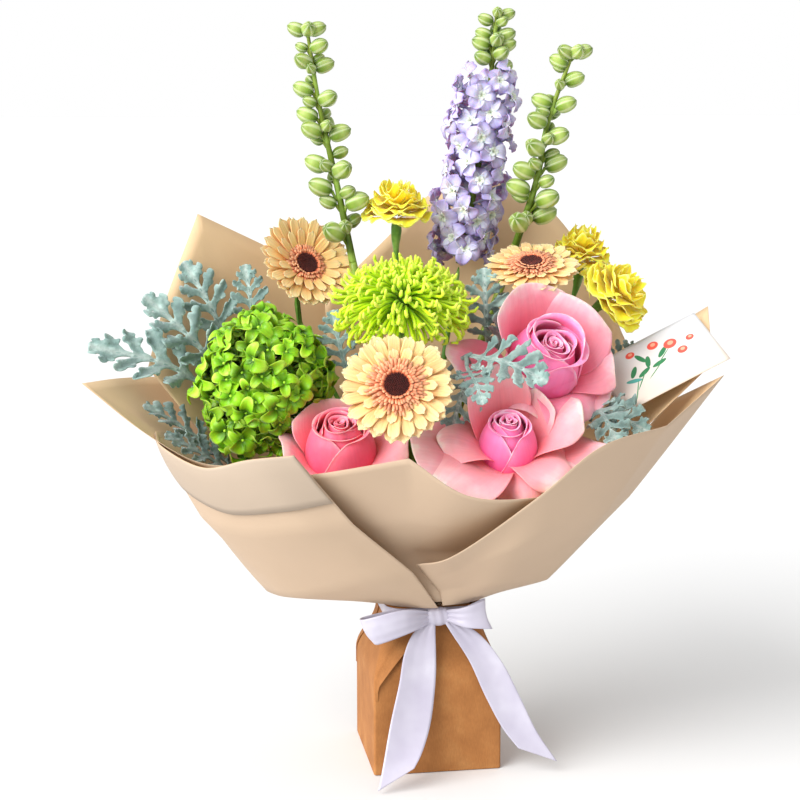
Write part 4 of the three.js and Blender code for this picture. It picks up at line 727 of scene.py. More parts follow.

# %% [markdown]
# ## Delphinium spikes
# A delphinium bud is a plump, pointed egg with five sepals still closed over it, so it has five soft ridges,
# green with white bands along the ridges. It stands on a short stalk. Open florets are lilac with a white
# "bee" in the middle. The stalks leave the spike where the frame's buds do, and smaller buds fill between.

# %% Buds on a spike
# the green is the bud's own; it is paler at the belly and darker at both ends, which is a painted highlight
# and painted shade
bud_green = petal_material("delphinium_bud_green_white",
                           [[0.0, "#446614"], [0.3, "#7A982E"], [0.65, "#A4B95E"], [0.85, "#8EA646"],
                            [1.0, "#5A7820"]],
                           roughness=0.42, veins=5, vein_depth=0.2, shade_spread=0.3, soft=0.12,
                           bands=("#E2E8C4", 5, 0.45))
spike_green = petal_material("delphinium_stem_waxy_skin",
                             [[0.0, "#4F6A14"], [0.6, "#6E8420"], [1, "#8A9A36"]],
                             roughness=0.4, veins=8, soft=0.05, sheen=0.0, speckle=("#8FAE48", 60.0))
lilac_sepal = petal_material("delphinium_sepal_lilac",
                             [[0.0, "#F7F5FA"], [0.3, "#E8E1F6"], [0.7, "#CFC3EE"], [1.0, "#B6A6E0"]],
                             roughness=0.5, veins=14, vein_depth=0.12, shade_spread=0.3, soft=0.2)
white_bee = petal_material("delphinium_bee_white", [[0.0, "#C9CFAE"], [0.5, "#F1F0E6"], [1.0, "#FFFFFF"]],
                           roughness=0.5, veins=4, vein_depth=0.05, shade_spread=0.1, soft=0.2)


def spike_line(points):
    points = np.asarray(points, float)
    return lambda z: spline(points, np.interp(z, points[:, 2], np.linspace(0, 1, len(points))))


BUD_WIDTH = 0.72  # as a share of the bud's length


def bud(growth, stalks, axis, height, bearing, size, reach, shade):
    a = math.radians(bearing - 90)
    out = np.array([math.cos(a), math.sin(a), 0])
    lean = unit(out * 0.9 + [0, 0, 0.35])
    centre = axis(np.array([height]))[0] + out * reach
    foot = axis(np.array([height - reach * 0.9]))[0]
    start = centre - lean * size * 0.95
    t = np.linspace(0, 1, 6)[:, None]
    stalk = foot + (start - foot) * t + np.array([0, 0, -1.6]) * np.sin(t * math.pi)
    stalks.tube(stalk, [1.5, 1.3, 1.2, 1.2, 1.4, 1.9], 8, 0.5)
    along = np.linspace(-1, 1, 12)
    shape = np.sqrt(np.clip(1 - np.abs(along) ** 2.3, 0, 1)) * (1 - 0.12 * along) * BUD_WIDTH * size
    shape[0], shape[-1] = 1.0, 0.35
    growth.tube(centre + lean * (along * size)[:, None], shape, 15, shade,
                wobble=lambda turn, t: 1 + 0.075 * np.cos(5 * turn) * math.sin(math.pi * min(t * 1.1, 1)))


def bud_spike(points, buds, seed):
    rng = random.Random(seed)
    axis = spike_line(points)
    base, tip = points[0][2], points[-1][2]
    spike, stalks = Growth(), Growth()
    for height, bearing in buds:
        low = 1 - (height - base) / (tip - base)
        bud(spike, stalks, axis, height, bearing, mix(9, 13, low), mix(9.5, 18.5, low), rng.uniform(0.5, 1))
    for k in range(16):  # half-hidden buds between the others
        height = mix(base + 24, tip - 6, (k + rng.random()) / 16)
        low = 1 - (height - base) / (tip - base)
        bud(spike, stalks, axis, height, k * GOLDEN_DEGREES, mix(6, 9.5, low), mix(7, 13, low),
            rng.uniform(0.2, 0.7))
    z = np.linspace(base - 4, tip + 2, 40)
    stalks.tube(axis(z), np.interp(z, [base, tip], [3.6, 1.6]), 12, 0.8)
    return spike, stalks


LEFT_SPIKE = [(-68, 44, 451), (-82, 44, 521), (-98, 44, 595), (-108, 44, 660)]
LEFT_BUDS = [(662, -90), (669, 10), (666, 80), (645, 60), (632, -45), (628, 100), (607, -90), (599, 50),
             (584, -95), (571, -60), (568, 90), (541, -95), (536, 35), (520, -80), (507, 75), (480, -40),
             (575, 170)]
RIGHT_SPIKE = [(82, 62, 466), (99, 44, 525), (108, 40, 577), (130, 40, 640)]
RIGHT_BUDS = [(632, -90), (640, -50), (648, 20), (641, 70), (616, 90), (597, -90), (594, 70), (580, -60),
              (566, 65), (556, -35), (541, 95), (535, -70), (519, -80), (509, 60), (494, 95), (488, -20),
              (588, 170)]


# %% [markdown]
# Under the flowers every stem runs the same way: straight through the tie from the water, then in one smooth
# curve to the head. Where a stem stands is read from its solid, whose lowest points are 9 mm above the table.

# %% Spikes with the stems that carry them
STEM_FOOT, TIE_TOP = 9, 158


def stem_line(node, end, arrival):
    """The middle line of a stem from the water to its head, in the bouquet's frame."""
    points = np.array([v.co for v in nodes[node].data.vertices]) / MM
    low = points[points[:, 2] < points[:, 2].min() + 1].mean(axis=0)
    c, s = math.cos(-BOUQUET_TURN), math.sin(-BOUQUET_TURN)
    x, y = c * low[0] - s * low[1], s * low[0] + c * low[1]
    end, arrival = np.asarray(end, float), unit(arrival)
    start = np.array([x, y, TIE_TOP])
    span = np.linalg.norm(end - start)
    corners = start, start + [0.3 * x, 0.3 * y, span * 0.42], end - arrival * span * 0.3, end
    t = np.linspace(0, 1, 40)[:, None]
    weights = (1 - t)**3, 3 * t * (1 - t)**2, 3 * t**2 * (1 - t), t**3
    curve = sum(weight * corner for weight, corner in zip(weights, corners))
    return np.vstack([[[x, y, STEM_FOOT]], curve])


for name, points, buds, seed in (("delphinium_left", LEFT_SPIKE, LEFT_BUDS, 51),
                                 ("delphinium_right", RIGHT_SPIKE, RIGHT_BUDS, 52)):
    spike, stalks = bud_spike(points, buds, seed)
    stalks.tube(stem_line(name, points[0], np.subtract(points[1], points[0])), 3.8, 10, 0.6)
    spike.piece(name + "_buds", bud_green, "bud", name)
    stalks.piece(name + "_stalk", spike_green, "bud")

# %% The open spike
OPEN_SPIKE = [(31, 84, 446), (46, 84, 526), (56, 84, 592), (64, 84, 676)]
SPIKE_FOOT, SPIKE_TOP, OPEN_FLORETS = 446, 677, 56
TIP_BUDS = [(670, -90, 7), (676, 0, 6), (674, 80, 7), (656, 75, 8), (657, -95, 7.5), (649, -85, 8.5),
            (647, 80, 8.5), (662, 175, 7), (652, 10, 8), (640, 40, 8), (636, -60, 8), (643, 190, 8),
            (628, 110, 8.5), (668, 40, 6)]


def open_spike():
    rng = random.Random(61)
    axis = spike_line(OPEN_SPIKE)
    lilac, bees = Growth(), Growth()
    for k in range(OPEN_FLORETS):
        share = (k + 0.5) / OPEN_FLORETS
        height = mix(452, 618, share)
        a = math.radians(k * GOLDEN_DEGREES)
        out = unit([math.cos(a), math.sin(a), mix(0.05, 0.35, share) + rng.uniform(-0.15, 0.15)])
        root = axis(np.array([height - 6]))[0]
        place = root + out * mix(25, 24, share) * rng.uniform(0.78, 1.16) + [-3 * share, 0, 5]
        facing = unit(out + np.array([rng.uniform(-0.55, 0.55) for _ in range(3)]))
        start = np.cross(facing, [0.2, 0.4, 0.9])
        size, turn = mix(16.5, 14, share) * rng.uniform(0.88, 1.08), rng.uniform(0, 1.3)
        lilac.tube(mix(root, place, np.linspace(0, 1, 4)[:, None]), [1.0, 1.0, 1.2, 1.8], 5, 0.0)
        for p in range(5):
            grid = sepal(size, size * 0.95, rng.uniform(0.5, 6))
            phase = rng.uniform(0, 6)
            grid[..., 2] += 1.1 * np.sin(np.linspace(0, 9, 9) + phase) * np.linspace(0, 1, 9)[:, None]
            grid = spun(grid, turn + p * 2 * math.pi / 5)
            lilac.sheet(place_on(grid, place, facing, start), rng.random())
        for p in range(4):
            grid = sepal(size * 0.42, size * 0.32, 2.4, steps=5)
            grid = spun(grid, turn + 0.4 + p * math.pi / 2)
            bees.sheet(place_on(grid, place + facing, facing, start), rng.random())
    lilac.piece("delphinium_open_sepals", lilac_sepal, "lilac", "delphinium_open_florets", thick=0.35)
    bees.piece("delphinium_open_bees", white_bee, "lilac", thick=0.3)
    tip, stalk = Growth(), Growth()
    for height, bearing, size in TIP_BUDS:
        bud(tip, stalk, axis, height, bearing, size * 1.1, size * 1.4, rng.uniform(0.5, 1))
    z = np.linspace(SPIKE_FOOT, SPIKE_TOP, 50)
    stalk.tube(axis(z), np.interp(z, [SPIKE_FOOT, SPIKE_TOP], [3.6, 1.8]), 12, 0.7)
    tip.piece("delphinium_open_tip_buds", bud_green, "bud", "delphinium_open_tip")
    stalk.piece("delphinium_open_tip_stalk", spike_green, "bud")


open_spike()

# %% [markdown]
# ## Dusty miller
# The leaf is a soft grey-green felt with a rounded edge, cut deep into lobes that are lobed again. Its
# outline is drawn in code as half a leaf, then mirrored and filled with small triangles, so that it can bend
# smoothly: it folds up along the midrib and arches back. The felt scatters light at grazing angles, which is
# sheen, and hides the veins except for the pale midrib.

# %% Felted lobed leaves
felt_leaf, shader = new_material("dusty_miller_felted_leaf")
marks = add(felt_leaf, "Attribute", {"attribute_name": "petal"}).outputs["Vector"]
across, _, shade = add(felt_leaf, "SeparateXYZ", Vector=marks).outputs
place = add(felt_leaf, "TexCoord").outputs["Object"]
fuzz = add(felt_leaf, "TexNoise", Vector=place, Scale=900.0, Detail=4.0).outputs["Fac"]  # fibres of 1 mm
quilt = add(felt_leaf, "TexVoronoi", Vector=place, Scale=260.0).outputs["Distance"]  # 4 mm, between veins
cloud = add(felt_leaf, "TexNoise", Vector=place, Scale=70.0, Detail=3.0).outputs["Fac"]
tones = {"stops": [[0.25, "#5C7672"], [0.5, "#78938D"], [0.75, "#A0B5AE"]]}
felt = add(felt_leaf, "ValToRGB", tones, Fac=cloud).outputs["Color"]
off_rib = add(felt_leaf, "Math", {"operation": "ABSOLUTE"}, _0=across).outputs[0]
rib = add(felt_leaf, "MapRange", Value=off_rib, From_Min=0.0, From_Max=0.035, To_Min=0.6,
          To_Max=0.0).outputs[0]
felt = add(felt_leaf, "Mix", BLEND, _0=rib, _6=felt, _7=linear("#C7D5CF")).outputs[2]
# the shade number darkens leaves low in the paper, which is painted shade, and pales their rims
dim = add(felt_leaf, "MapRange", {"clamp": False}, Value=shade, To_Min=0.6, To_Max=1.06).outputs[0]
felt = add(felt_leaf, "Mix", TIMES, _0=1.0, _6=felt, _7=dim).outputs[2]
relief = add(felt_leaf, "Math", {"operation": "ADD"}, _0=fuzz, _1=quilt).outputs[0]
bump = add(felt_leaf, "Bump", Height=relief, Strength=0.5, Distance=0.0008).outputs[0]
give(felt_leaf, shader, Base_Color=felt, Roughness=0.85, Sheen_Weight=0.5, Sheen_Roughness=0.5, Normal=bump)

# Each lobe leaves the midrib at a height, climbs at an angle, and ends in rounded teeth. The numbers are
# [height, length, width, angle], as shares of the leaf's length and in degrees.
LOBES = [(0.19, 0.20, 0.095, 40), (0.35, 0.28, 0.122, 44), (0.52, 0.30, 0.128, 48), (0.68, 0.25, 0.115, 52),
         (0.81, 0.18, 0.092, 58), (0.91, 0.11, 0.07, 66)]
LOBE_SHAPE = [(0.0, -0.42), (0.30, -0.40), (0.46, -0.74), (0.60, -0.78), (0.62, -0.42), (0.80, -0.60),
              (0.93, -0.42), (1.0, 0.0), (0.95, 0.34), (0.80, 0.42), (0.72, 0.30), (0.70, 0.62), (0.56, 0.72),
              (0.40, 0.40), (0.0, 0.34)]


def half_outline():
    corners = [(0, 0.0), (0.016, 0.02), (0.02, 0.10)]
    for height, long, wide, angle in LOBES:
        a = math.radians(angle)
        for s, w in LOBE_SHAPE:
            corners.append((0.02 + s * long * math.sin(math.pi / 2 - a) - w * wide * math.sin(a) * 0.35,
                            height + s * long * math.sin(a) * 0.72 + w * wide * 0.62))
    corners += [(0.05, 0.965), (0.035, 0.995), (0.0, 1.0)]
    line = np.array(corners)
    for _ in range(2):  # cutting the corners twice rounds the teeth and never overshoots
        cut = np.stack([mix(line[:-1], line[1:], 0.25), mix(line[:-1], line[1:], 0.75)], 1)
        line = np.vstack([line[:1], cut.reshape(-1, 2), line[-1:]])
    keep = [line[0]]
    for p in line[1:]:
        if np.linalg.norm(p - keep[-1]) > 0.004:
            keep.append(p)
    return np.array(keep)


def leaf_net():
    """The flat leaf, one unit long, as points and triangles finer than its lobes."""
    right = half_outline()
    left = right[::-1][1:-1] * [-1, 1]
    outline = [Vector(p) for p in np.vstack([right, left])]
    inner = [Vector((x * 0.03 + 0.015 * (j % 2), y)) for j, y in enumerate(np.arange(0.02, 0.99, 0.026))
             for x in range(-11, 12)]
    edges = [(i, (i + 1) % len(outline)) for i in range(len(outline))]
    points, _, faces, *_ = geometry.delaunay_2d_cdt(outline + inner, edges, [], 1, 1e-5)
    used = sorted({i for face in faces for i in face})
    new = {old: k for k, old in enumerate(used)}
    return np.array([points[i] for i in used]), [[new[i] for i in face] for face in faces]


LEAF_POINTS, LEAF_FACES = leaf_net()
OUTLINE = half_outline()
# how far each point lies in from the rim
LEAF_RIM = np.array([np.linalg.norm(OUTLINE - [abs(x), y], axis=1).min() for x, y in LEAF_POINTS])


def leaf(growth, foot, tip, face, breadth, low, rng):
    """Leaves low in the paper are flatter, and their colour is darker, which is painted shade."""
    # low leaves take darker tones: painted shade
    arch, tones = (0.01, (-0.5, -0.1)) if low else (0.08, (0.3, 0.9))
    foot, tip, face = (np.asarray(p, float) for p in (foot, tip, face))
    length = np.linalg.norm(tip - foot)
    along = unit(tip - foot)
    across = unit(np.cross(along, face))
    up = unit(np.cross(across, along))
    x, y = LEAF_POINTS[:, 0] * breadth * 1.12, LEAF_POINTS[:, 1]
    phase = rng.uniform(0, 6)
    out = np.abs(x)
    rise = arch * np.sin(np.pi * y) ** 2 + out * 0.34 - 0.10 * y**3
    rise += 0.16 * out * np.sin((y - out * 0.75) * 46 + phase)  # the lobes lie higher and lower in turn
    curl = np.maximum(out - 0.12, 0) ** 2
    rise += 0.9 * curl * np.sin(y * 17 + phase * 2) + 0.006 * np.sin(x * 90 + y * 60)
    bend = 0.05 * math.sin(phase) * np.sin(np.pi * y * 0.5) ** 2
    points = (foot + np.outer(y * length, along) + np.outer((x + bend) * length, across)
              + np.outer(rise * length, up))
    shade = mix(0.4 if low else 1.4, rng.uniform(*tones), ease(LEAF_RIM / 0.02))  # the rim is paler
    growth.add(points, LEAF_FACES, np.stack([x, y, shade], -1))
    v = np.linspace(0, 0.9, 12)  # the midrib is a thin rod under the leaf
    rib_bend = 0.05 * math.sin(phase) * np.sin(np.pi * v * 0.5) ** 2
    rib_rise = arch * np.sin(np.pi * v) ** 2 - 0.10 * v**3 - 0.004
    rib = (foot + np.outer(v * length, along) + np.outer(rib_bend * length, across)
           + np.outer(rib_rise * length, up))
    growth.tube(rib, np.linspace(1.3, 0.5, 12), 6, 0.9)


FRONT_UP = (0, -0.8, 0.6)
SPRAYS = {
    "left_long": [((-186, 20, 330), (-294, -24, 394), (0.1, -0.7, 0.7), 0.85),
                  ((-180, 30, 340), (-252, 4, 424), (0.2, -0.9, 0.4), 0.85)],
    "left_upper": [((-178, 46, 366), (-224, 34, 450), (0.3, -0.95, 0.1), 0.95)],
    "left_inner": [((-156, 30, 380), (-167, 30, 450), (0.1, -1, 0.1), 1)],
    "left_low": [((-178, -20, 277), (-246, -46, 336), (0, -0.5, 0.85), 0.75)],
    "left_lowest": [((-166, -36, 264), (-222, -72, 320), (0, -0.6, 0.8), 0.75)],
    "middle": [((-71, -22, 356), (-87, -12, 414), (-0.1, -1, 0.1), 1.25)],
    "behind_mum": [((54, -4, 380), (46, -10, 450), (-0.1, -1, 0.1), 1.25),
                   ((64, 2, 374), (66, -4, 428), (0.2, -1, 0), 1.3),
                   ((58, -6, 376), (82, -26, 420), (0.1, -1, 0.2), 1.4)],
    "under_gerbera": [((104, 24, 386), (100, -4, 440), (0, -1, 0.1), 1.5)],
    "front": [((34, -66, 382), (94, -114, 368), FRONT_UP, 1.25),
              ((32, -80, 374), (42, -122, 352), FRONT_UP, 1.3),
              ((36, -58, 372), (22, -84, 318), FRONT_UP, 1.4)],
    "right": [((138, -34, 328), (190, -74, 322), (0.1, -0.7, 0.7), 1.35),
              ((142, -46, 338), (164, -92, 312), (0.1, -0.8, 0.5), 1.5)],
    "right_back": [((160, 30, 352), (194, 30, 378), (0.2, -0.8, 0.5), 1.5)],
}
for k, (name, leaves) in enumerate(SPRAYS.items()):
    rng = random.Random(70 + k)
    growth = Growth()
    for n, (foot, tip, face, breadth) in enumerate(leaves):
        leaf(growth, foot, tip, face, breadth, "low" in name, rng)
        arrival = unit(unit(np.subtract(tip, foot)) + np.array([0, 0, 0.6]))
        if n == 0:
            first, first_arrival = np.array(foot, float), arrival
            growth.tube(stem_line("dusty_miller_" + name, first + arrival * 3, arrival), 1.7, 7, 0.7)
        else:
            growth.tube(np.linspace(first - 3 * first_arrival, foot, 5), 1.5, 7, 0.7)
    growth.piece("dusty_miller_" + name + "_leaf", felt_leaf, "dusty_miller", "dusty_miller_" + name,
                 thick=0.9)

# %% [markdown]
# ## Wrapping paper
# Seven sheets of stiff matt paper, with a lighter, warmer inner face. Each is bent, not stretched: it leaves
# the neck of the box, turns outward over the collar and rises to a free rim. The surface passes through
# given points, nearly all of them those of the frame's sheet, so it lies in the same place, and it is
# divided finely. The left front sheet ends in a cuff that is folded outward and pressed down.

# %% Matt paper
FIBRE_IOR = 1.47  # cellulose, in paper and card


def paper_material(name, outside, cuff, inside):
    material, shader = new_material(name)
    place = add(material, "TexCoord").outputs["Object"]
    cloud = add(material, "TexNoise", Vector=place, Scale=9.0, Detail=3.0).outputs["Fac"]
    tooth = add(material, "TexNoise", Vector=place, Scale=1400.0, Detail=2.0).outputs["Fac"]  # 0.7 mm
    crease = add(material, "TexNoise", Vector=place, Scale=16.0, Detail=5.0, Distortion=0.6).outputs["Fac"]
    marks = add(material, "Attribute", {"attribute_name": "petal"}).outputs["Vector"]
    side = add(material, "SeparateXYZ", Vector=marks).outputs["Z"]
    faces = {"stops": [[0.0, outside], [0.5, cuff], [1.0, inside]]}
    colour = add(material, "ValToRGB", faces, Fac=side).outputs["Color"]
    tone = add(material, "MapRange", Value=cloud, From_Min=0.3, From_Max=0.7, To_Min=0.95,
               To_Max=1.03).outputs[0]
    colour = add(material, "Mix", TIMES, _0=1.0, _6=colour, _7=tone).outputs[2]
    rough = add(material, "MapRange", Value=tooth, To_Min=0.55, To_Max=0.72).outputs[0]
    soft = add(material, "Bump", Height=crease, Strength=0.25, Distance=0.003).outputs[0]
    fine = add(material, "Bump", Height=tooth, Strength=0.15, Distance=0.0002, Normal=soft).outputs[0]
    give(material, shader, Base_Color=colour, Roughness=rough, IOR=FIBRE_IOR, Normal=fine)
    return material


# the middle colour is the inner face where it shows as the cuff, darker and greyer than the inside colour:
# painted shade
beige_paper = paper_material("matt_wrapping_paper_beige", "#C3AA90", "#B2A08D", "#E2C298")

COLLAR_TOP, PAPER_FOOT, FLARE_RADIUS = 151, 121, 62
COLLAR_ROOM, NEST_GAP = 41.3, 1.5  # radius of the outermost sheet in the neck, and from one to the next
PAPER_HALF = 0.22  # half the thickness of a sheet
PAPER_ROWS, PAPER_COLUMNS = 51, 61  # every listed row and column falls on one of them
CREASE = 0.75  # how far the stiff paper follows straight runs and creases rather than a smooth bowl
# the listed columns at which each sheet is creased from rim to neck
CORNERS = dict(left_front=[4], left_wing=[3], front=[2], right_front=[4, 5], right=[1], left_back=[2],
               back=[3])


def paper_surface(columns, nest):
    neck = COLLAR_ROOM - NEST_GAP * nest
    over_collar = (neck, COLLAR_TOP + 1.4 * (nest + 1))
    flare = (FLARE_RADIUS, COLLAR_TOP + 4 + 1.9 * nest)

    def at(t_across, t_up, corners):
        lines = []
        for bearing, *points in columns:
            a = math.radians(bearing - 90)
            low = [(r * math.cos(a), r * math.sin(a), z) for r, z in ((neck, PAPER_FOOT), over_collar, flare)]
            folded = [np.interp(t_up * 5, range(6), axis) for axis in np.transpose(low + points)]
            lines.append(mix(spline(low + points, t_up), np.stack(folded, -1), CREASE))
        rows = []
        last = len(columns) - 1
        for share, line in zip(t_up, np.stack(lines, 1)):
            soft = spline(line, t_across)
            sharp, ends = soft.copy(), [0, *corners, last]
            for first, end in zip(ends, ends[1:]):
                part = (t_across * last >= first - 1e-6) & (t_across * last <= end + 1e-6)
                sharp[part] = spline(line[first:end + 1], (t_across[part] * last - first) / (end - first))
            rows.append(mix(soft, sharp, ease((share - 0.35) / 0.6)))
        return np.stack(rows)
    return at


PAPER = {
    "left_front": (0, [
        [8, [-14, -97, 197], [-64, -137, 250], [-112, -157, 313]],
        [-4, [-49, -106, 195], [-108, -140, 246], [-150, -151, 308]],
        [-28, [-88, -88, 178], [-158, -112, 237], [-189, -130, 297]],
        [-52, [-122, -62, 165], [-193, -79, 238], [-228, -99, 309]],
        [-74, [-145, -26, 160], [-209, -43, 249], [-238, -61, 314]],
        [-98, [-151, 14, 158], [-211, 10, 246], [-226, 0, 300]]]),
    "left_wing": (1, [
        [-24, [-76, -72, 186], [-132, -88, 247], [-158, -108, 293]],
        [-44, [-100, -56, 180], [-161, -74, 255], [-196, -104, 296]],
        [-62, [-118, -37, 175], [-185, -56, 266], [-242, -87, 317]],
        [-80, [-127, -11, 173], [-198, -32, 281], [-302, -52, 355]],
        [-100, [-126, 22, 173], [-188, 18, 275], [-277, 0, 351]],
        [-120, [-114, 48, 173], [-170, 50, 264], [-244, 40, 346]]]),
    "front": (3, [
        [-46, [-62, -66, 198], [-96, -95, 240], [-130, -124, 286]],
        [-24, [-34, -80, 203], [-56, -112, 244], [-83, -148, 297]],
        [-8, [-10, -80, 210], [-15, -119, 248], [-18, -160, 311]],
        [8, [13, -80, 210], [21, -117, 243], [30, -156, 279]],
        [26, [42, -74, 208], [62, -108, 240], [83, -144, 274]],
        [42, [64, -62, 200], [90, -88, 238], [122, -118, 277]]]),
    "right_front": (1, [
        [12, [9, -68, 172], [-1, -80, 187], [-11, -92, 203]],
        [24, [30, -78, 179], [23, -101, 200], [17, -125, 218]],
        [38, [56, -88, 184], [72, -127, 228], [91, -153, 279]],
        [54, [84, -76, 185], [111, -122, 247], [139, -149, 318]],
        [70, [105, -52, 178], [153, -89, 250], [200, -107, 328]],
        [88, [112, -20, 176], [179, -36, 250], [258, -46, 361]],
        [106, [103, 26, 178], [160, 25, 250], [222, 10, 329]]]),
    "right": (4, [
        [70, [84, -38, 199], [152, -42, 274], [250, -34, 370]],
        [88, [91, -10, 196], [162, 0, 286], [256, 32, 412]],
        [106, [87, 19, 196], [147, 34, 284], [220, 60, 384]],
        [122, [72, 44, 194], [112, 60, 276], [174, 76, 364]],
        [140, [49, 60, 192], [80, 76, 268], [128, 90, 352]]]),
    "left_back": (2, [
        [-84, [-104, -14, 184], [-184, -17, 280], [-251, -5, 361]],
        [-104, [-110, 15, 184], [-181, 21, 290], [-240, 25, 411]],
        [-124, [-98, 46, 190], [-157, 56, 316], [-211, 62, 494]],
        [-146, [-74, 69, 190], [-121, 82, 307], [-147, 90, 460]],
        [-168, [-40, 81, 187], [-73, 101, 299], [-78, 118, 422]]]),
    "back": (3, [
        [-140, [-52, 54, 196], [-88, 74, 289], [-96, 92, 411]],
        [-156, [-31, 65, 198], [-50, 92, 315], [-39, 112, 466]],
        [-174, [-1, 72, 198], [-1, 106, 323], [10, 132, 512]],
        [-192, [28, 74, 197], [47, 110, 323], [61, 138, 529]],
        [-208, [58, 70, 197], [96, 104, 314], [114, 132, 498]],
        [-224, [78, 62, 195], [130, 92, 287], [156, 116, 445]],
        [-240, [88, 48, 193], [147, 68, 267], [189, 88, 372]]]),
}

# %% Sheets with two faces, and the cuff
CUFF_BAND = 0.2  # the share of the sheet's height in which the cuff may lie
CUFF_GAP = 0.002  # how far below the rim it starts, as a share of the same height
# share of the cuff, and how far it stands off the sheet there
CUFF_STEPS = [(0.0, 0.5), (0.04, 1.4), (0.3, 2.6), (0.6, 3.2), (0.85, 3.0), (1.0, 2.4)]
# how far down the sheet the cuff reaches, as a share of its height, by column
CUFF_DROP = [[0.13], [0.14], [0.135], [0.105], [0.05], [0.012]]


def cuff_rows(at, t_across, corners, outward):
    """The rows of points that fold over the rim and lie down outside it."""
    drop = spline(CUFF_DROP, t_across)[:, 0]
    share, reach = np.transpose(CUFF_STEPS)
    dense = at(t_across, np.linspace(1 - CUFF_BAND, 1, 41), corners)
    pick = np.clip((1 - CUFF_GAP - share[:, None] * drop - (1 - CUFF_BAND)) / CUFF_BAND, 0, 1) * 40
    low = np.minimum(pick.astype(int), 39)
    column = np.arange(len(t_across))
    rim = mix(dense[low, column], dense[low + 1, column], (pick - low)[..., None])
    return rim + outward * reach[:, None, None]


def paper_sheet(name, nest, columns):
    at = paper_surface(columns, nest)
    t_across, corners = np.linspace(0, 1, PAPER_COLUMNS), CORNERS[name]
    grid = at(t_across, np.linspace(0, 1, PAPER_ROWS), corners)
    outward = np.cross(np.gradient(grid, axis=1), np.gradient(grid, axis=0))
    outward /= np.linalg.norm(outward, axis=2, keepdims=True)
    outward *= np.sign((outward * grid * [1, 1, 0]).sum())
    cuff = len(CUFF_STEPS) if name == "left_front" else 0
    if cuff:
        grid = np.concatenate([grid, cuff_rows(at, t_across, corners, outward[-1])])
        outward = np.concatenate([outward, -np.repeat(outward[-1:], cuff, axis=0)])
    rows, wide = grid.shape[:2]
    paper = Growth()
    paper.sheet(grid - outward * PAPER_HALF, shade=1.0)
    # the cuff's rows take the darker middle colour, which is painted shade
    paper.marks[0][(rows - cuff) * wide:, 2] = 0.5
    paper.sheet((grid + outward * PAPER_HALF)[:, ::-1], shade=0.0)

    def behind(i):
        return rows * wide + (i // wide) * wide + wide - 1 - i % wide

    number = np.arange(rows * wide).reshape(rows, wide)
    ring = [*number[0], *number[1:, -1], *number[-1, -2::-1], *number[-2:0:-1, 0]]
    paper.faces += [(b, a, behind(a), behind(b)) for a, b in zip(ring, ring[1:] + ring[:1])]
    paper.piece("wrapping_paper_" + name, beige_paper, "paper", "paper_" + name)


for name, (nest, columns) in PAPER.items():
    paper_sheet(name, nest, columns)

# %% [markdown]
# ## Greeting card
# A stiff coated card of A7 size, 105 by 74 mm, leans on the right-hand sheet. Its front has a small generic
# print: a loose sprig with round coral blooms. The print is made of ellipses in the material, each one a
# distance from its own centre, so it has no picture behind it.

# %% Printed card
CARD_WIDTH, CARD_HEIGHT, CARD_CENTRE = 105, 74, np.array([206.5, -14, 367.5])
CARD_ACROSS, CARD_UP = (0.887, 0.086, 0.453), (0.068, 0.814, 0.577)
printed_card, shader = new_material("coated_card_printed")
marks = add(printed_card, "Attribute", {"attribute_name": "petal"}).outputs["Vector"]
up = add(printed_card, "SeparateXYZ", Vector=marks).outputs["Y"]
# the card's white runs from warm cream at its foot to a cool white at its top: painted reflected light from
# the paper below
white = {"stops": [[0.0, "#DBCDBE"], [0.5, "#E0DBD6"], [1.0, "#DCDDE2"]]}
colour = add(printed_card, "ValToRGB", white, Fac=up).outputs["Color"]
size = (CARD_WIDTH, CARD_HEIGHT, 0)
here = add(printed_card, "VectorMath", {"operation": "MULTIPLY"}, _0=marks, _1=size).outputs[0]


def dab(colour, ink, x, y, long, wide, angle):
    """Prints one soft-edged ellipse, in millimetres on the card."""
    turn = math.radians(-angle)
    moved = add(printed_card, "VectorMath", {"operation": "SUBTRACT"}, _0=here, _1=(x, y, 0)).outputs[0]
    turned = add(printed_card, "VectorRotate", {"rotation_type": "Z_AXIS"}, Vector=moved,
                 Angle=turn).outputs[0]
    shrink = (2 / long, 2 / wide, 0)
    scaled = add(printed_card, "VectorMath", {"operation": "MULTIPLY"}, _0=turned, _1=shrink).outputs[0]
    far = add(printed_card, "VectorMath", {"operation": "LENGTH"}, _0=scaled).outputs["Value"]
    share = add(printed_card, "MapRange", Value=far, From_Min=0.94, From_Max=1.0, To_Min=1.0, To_Max=0.0)
    return add(printed_card, "Mix", BLEND, _0=share.outputs[0], _6=colour, _7=linear(ink)).outputs[2]


for x, y, angle in ((28, 40, 55), (36, 34, 25), (44, 44, 70), (52, 36, 10), (40, 52, 110), (60, 47, 40),
                    (24, 30, -20)):
    colour = dab(colour, "#2F7D52" if (x + y) % 3 else "#4FA39A", x, y, 15, 5, angle)
for x, y, angle in ((22, 18, 62), (30, 26, 50), (46, 30, 35), (58, 41, 38)):
    colour = dab(colour, "#3C8C5A", x, y, 24, 1.1, angle)
for x, y, size in ((70, 52, 13), (56, 60, 11), (76, 38, 10), (34, 62, 9), (88, 48, 8)):
    colour = dab(colour, "#E8564A", x, y, size, size * 0.9, 20)
    colour = dab(colour, "#F6A98C", x + 0.6, y + 0.8, size * 0.45, size * 0.4, 20)
place = add(printed_card, "TexCoord").outputs["Object"]
tooth = add(printed_card, "TexNoise", Vector=place, Scale=1800.0).outputs["Fac"]
bump = add(printed_card, "Bump", Height=tooth, Strength=0.08, Distance=0.0002).outputs[0]
give(printed_card, shader, Base_Color=colour, Roughness=0.42, IOR=1.5, Normal=bump)

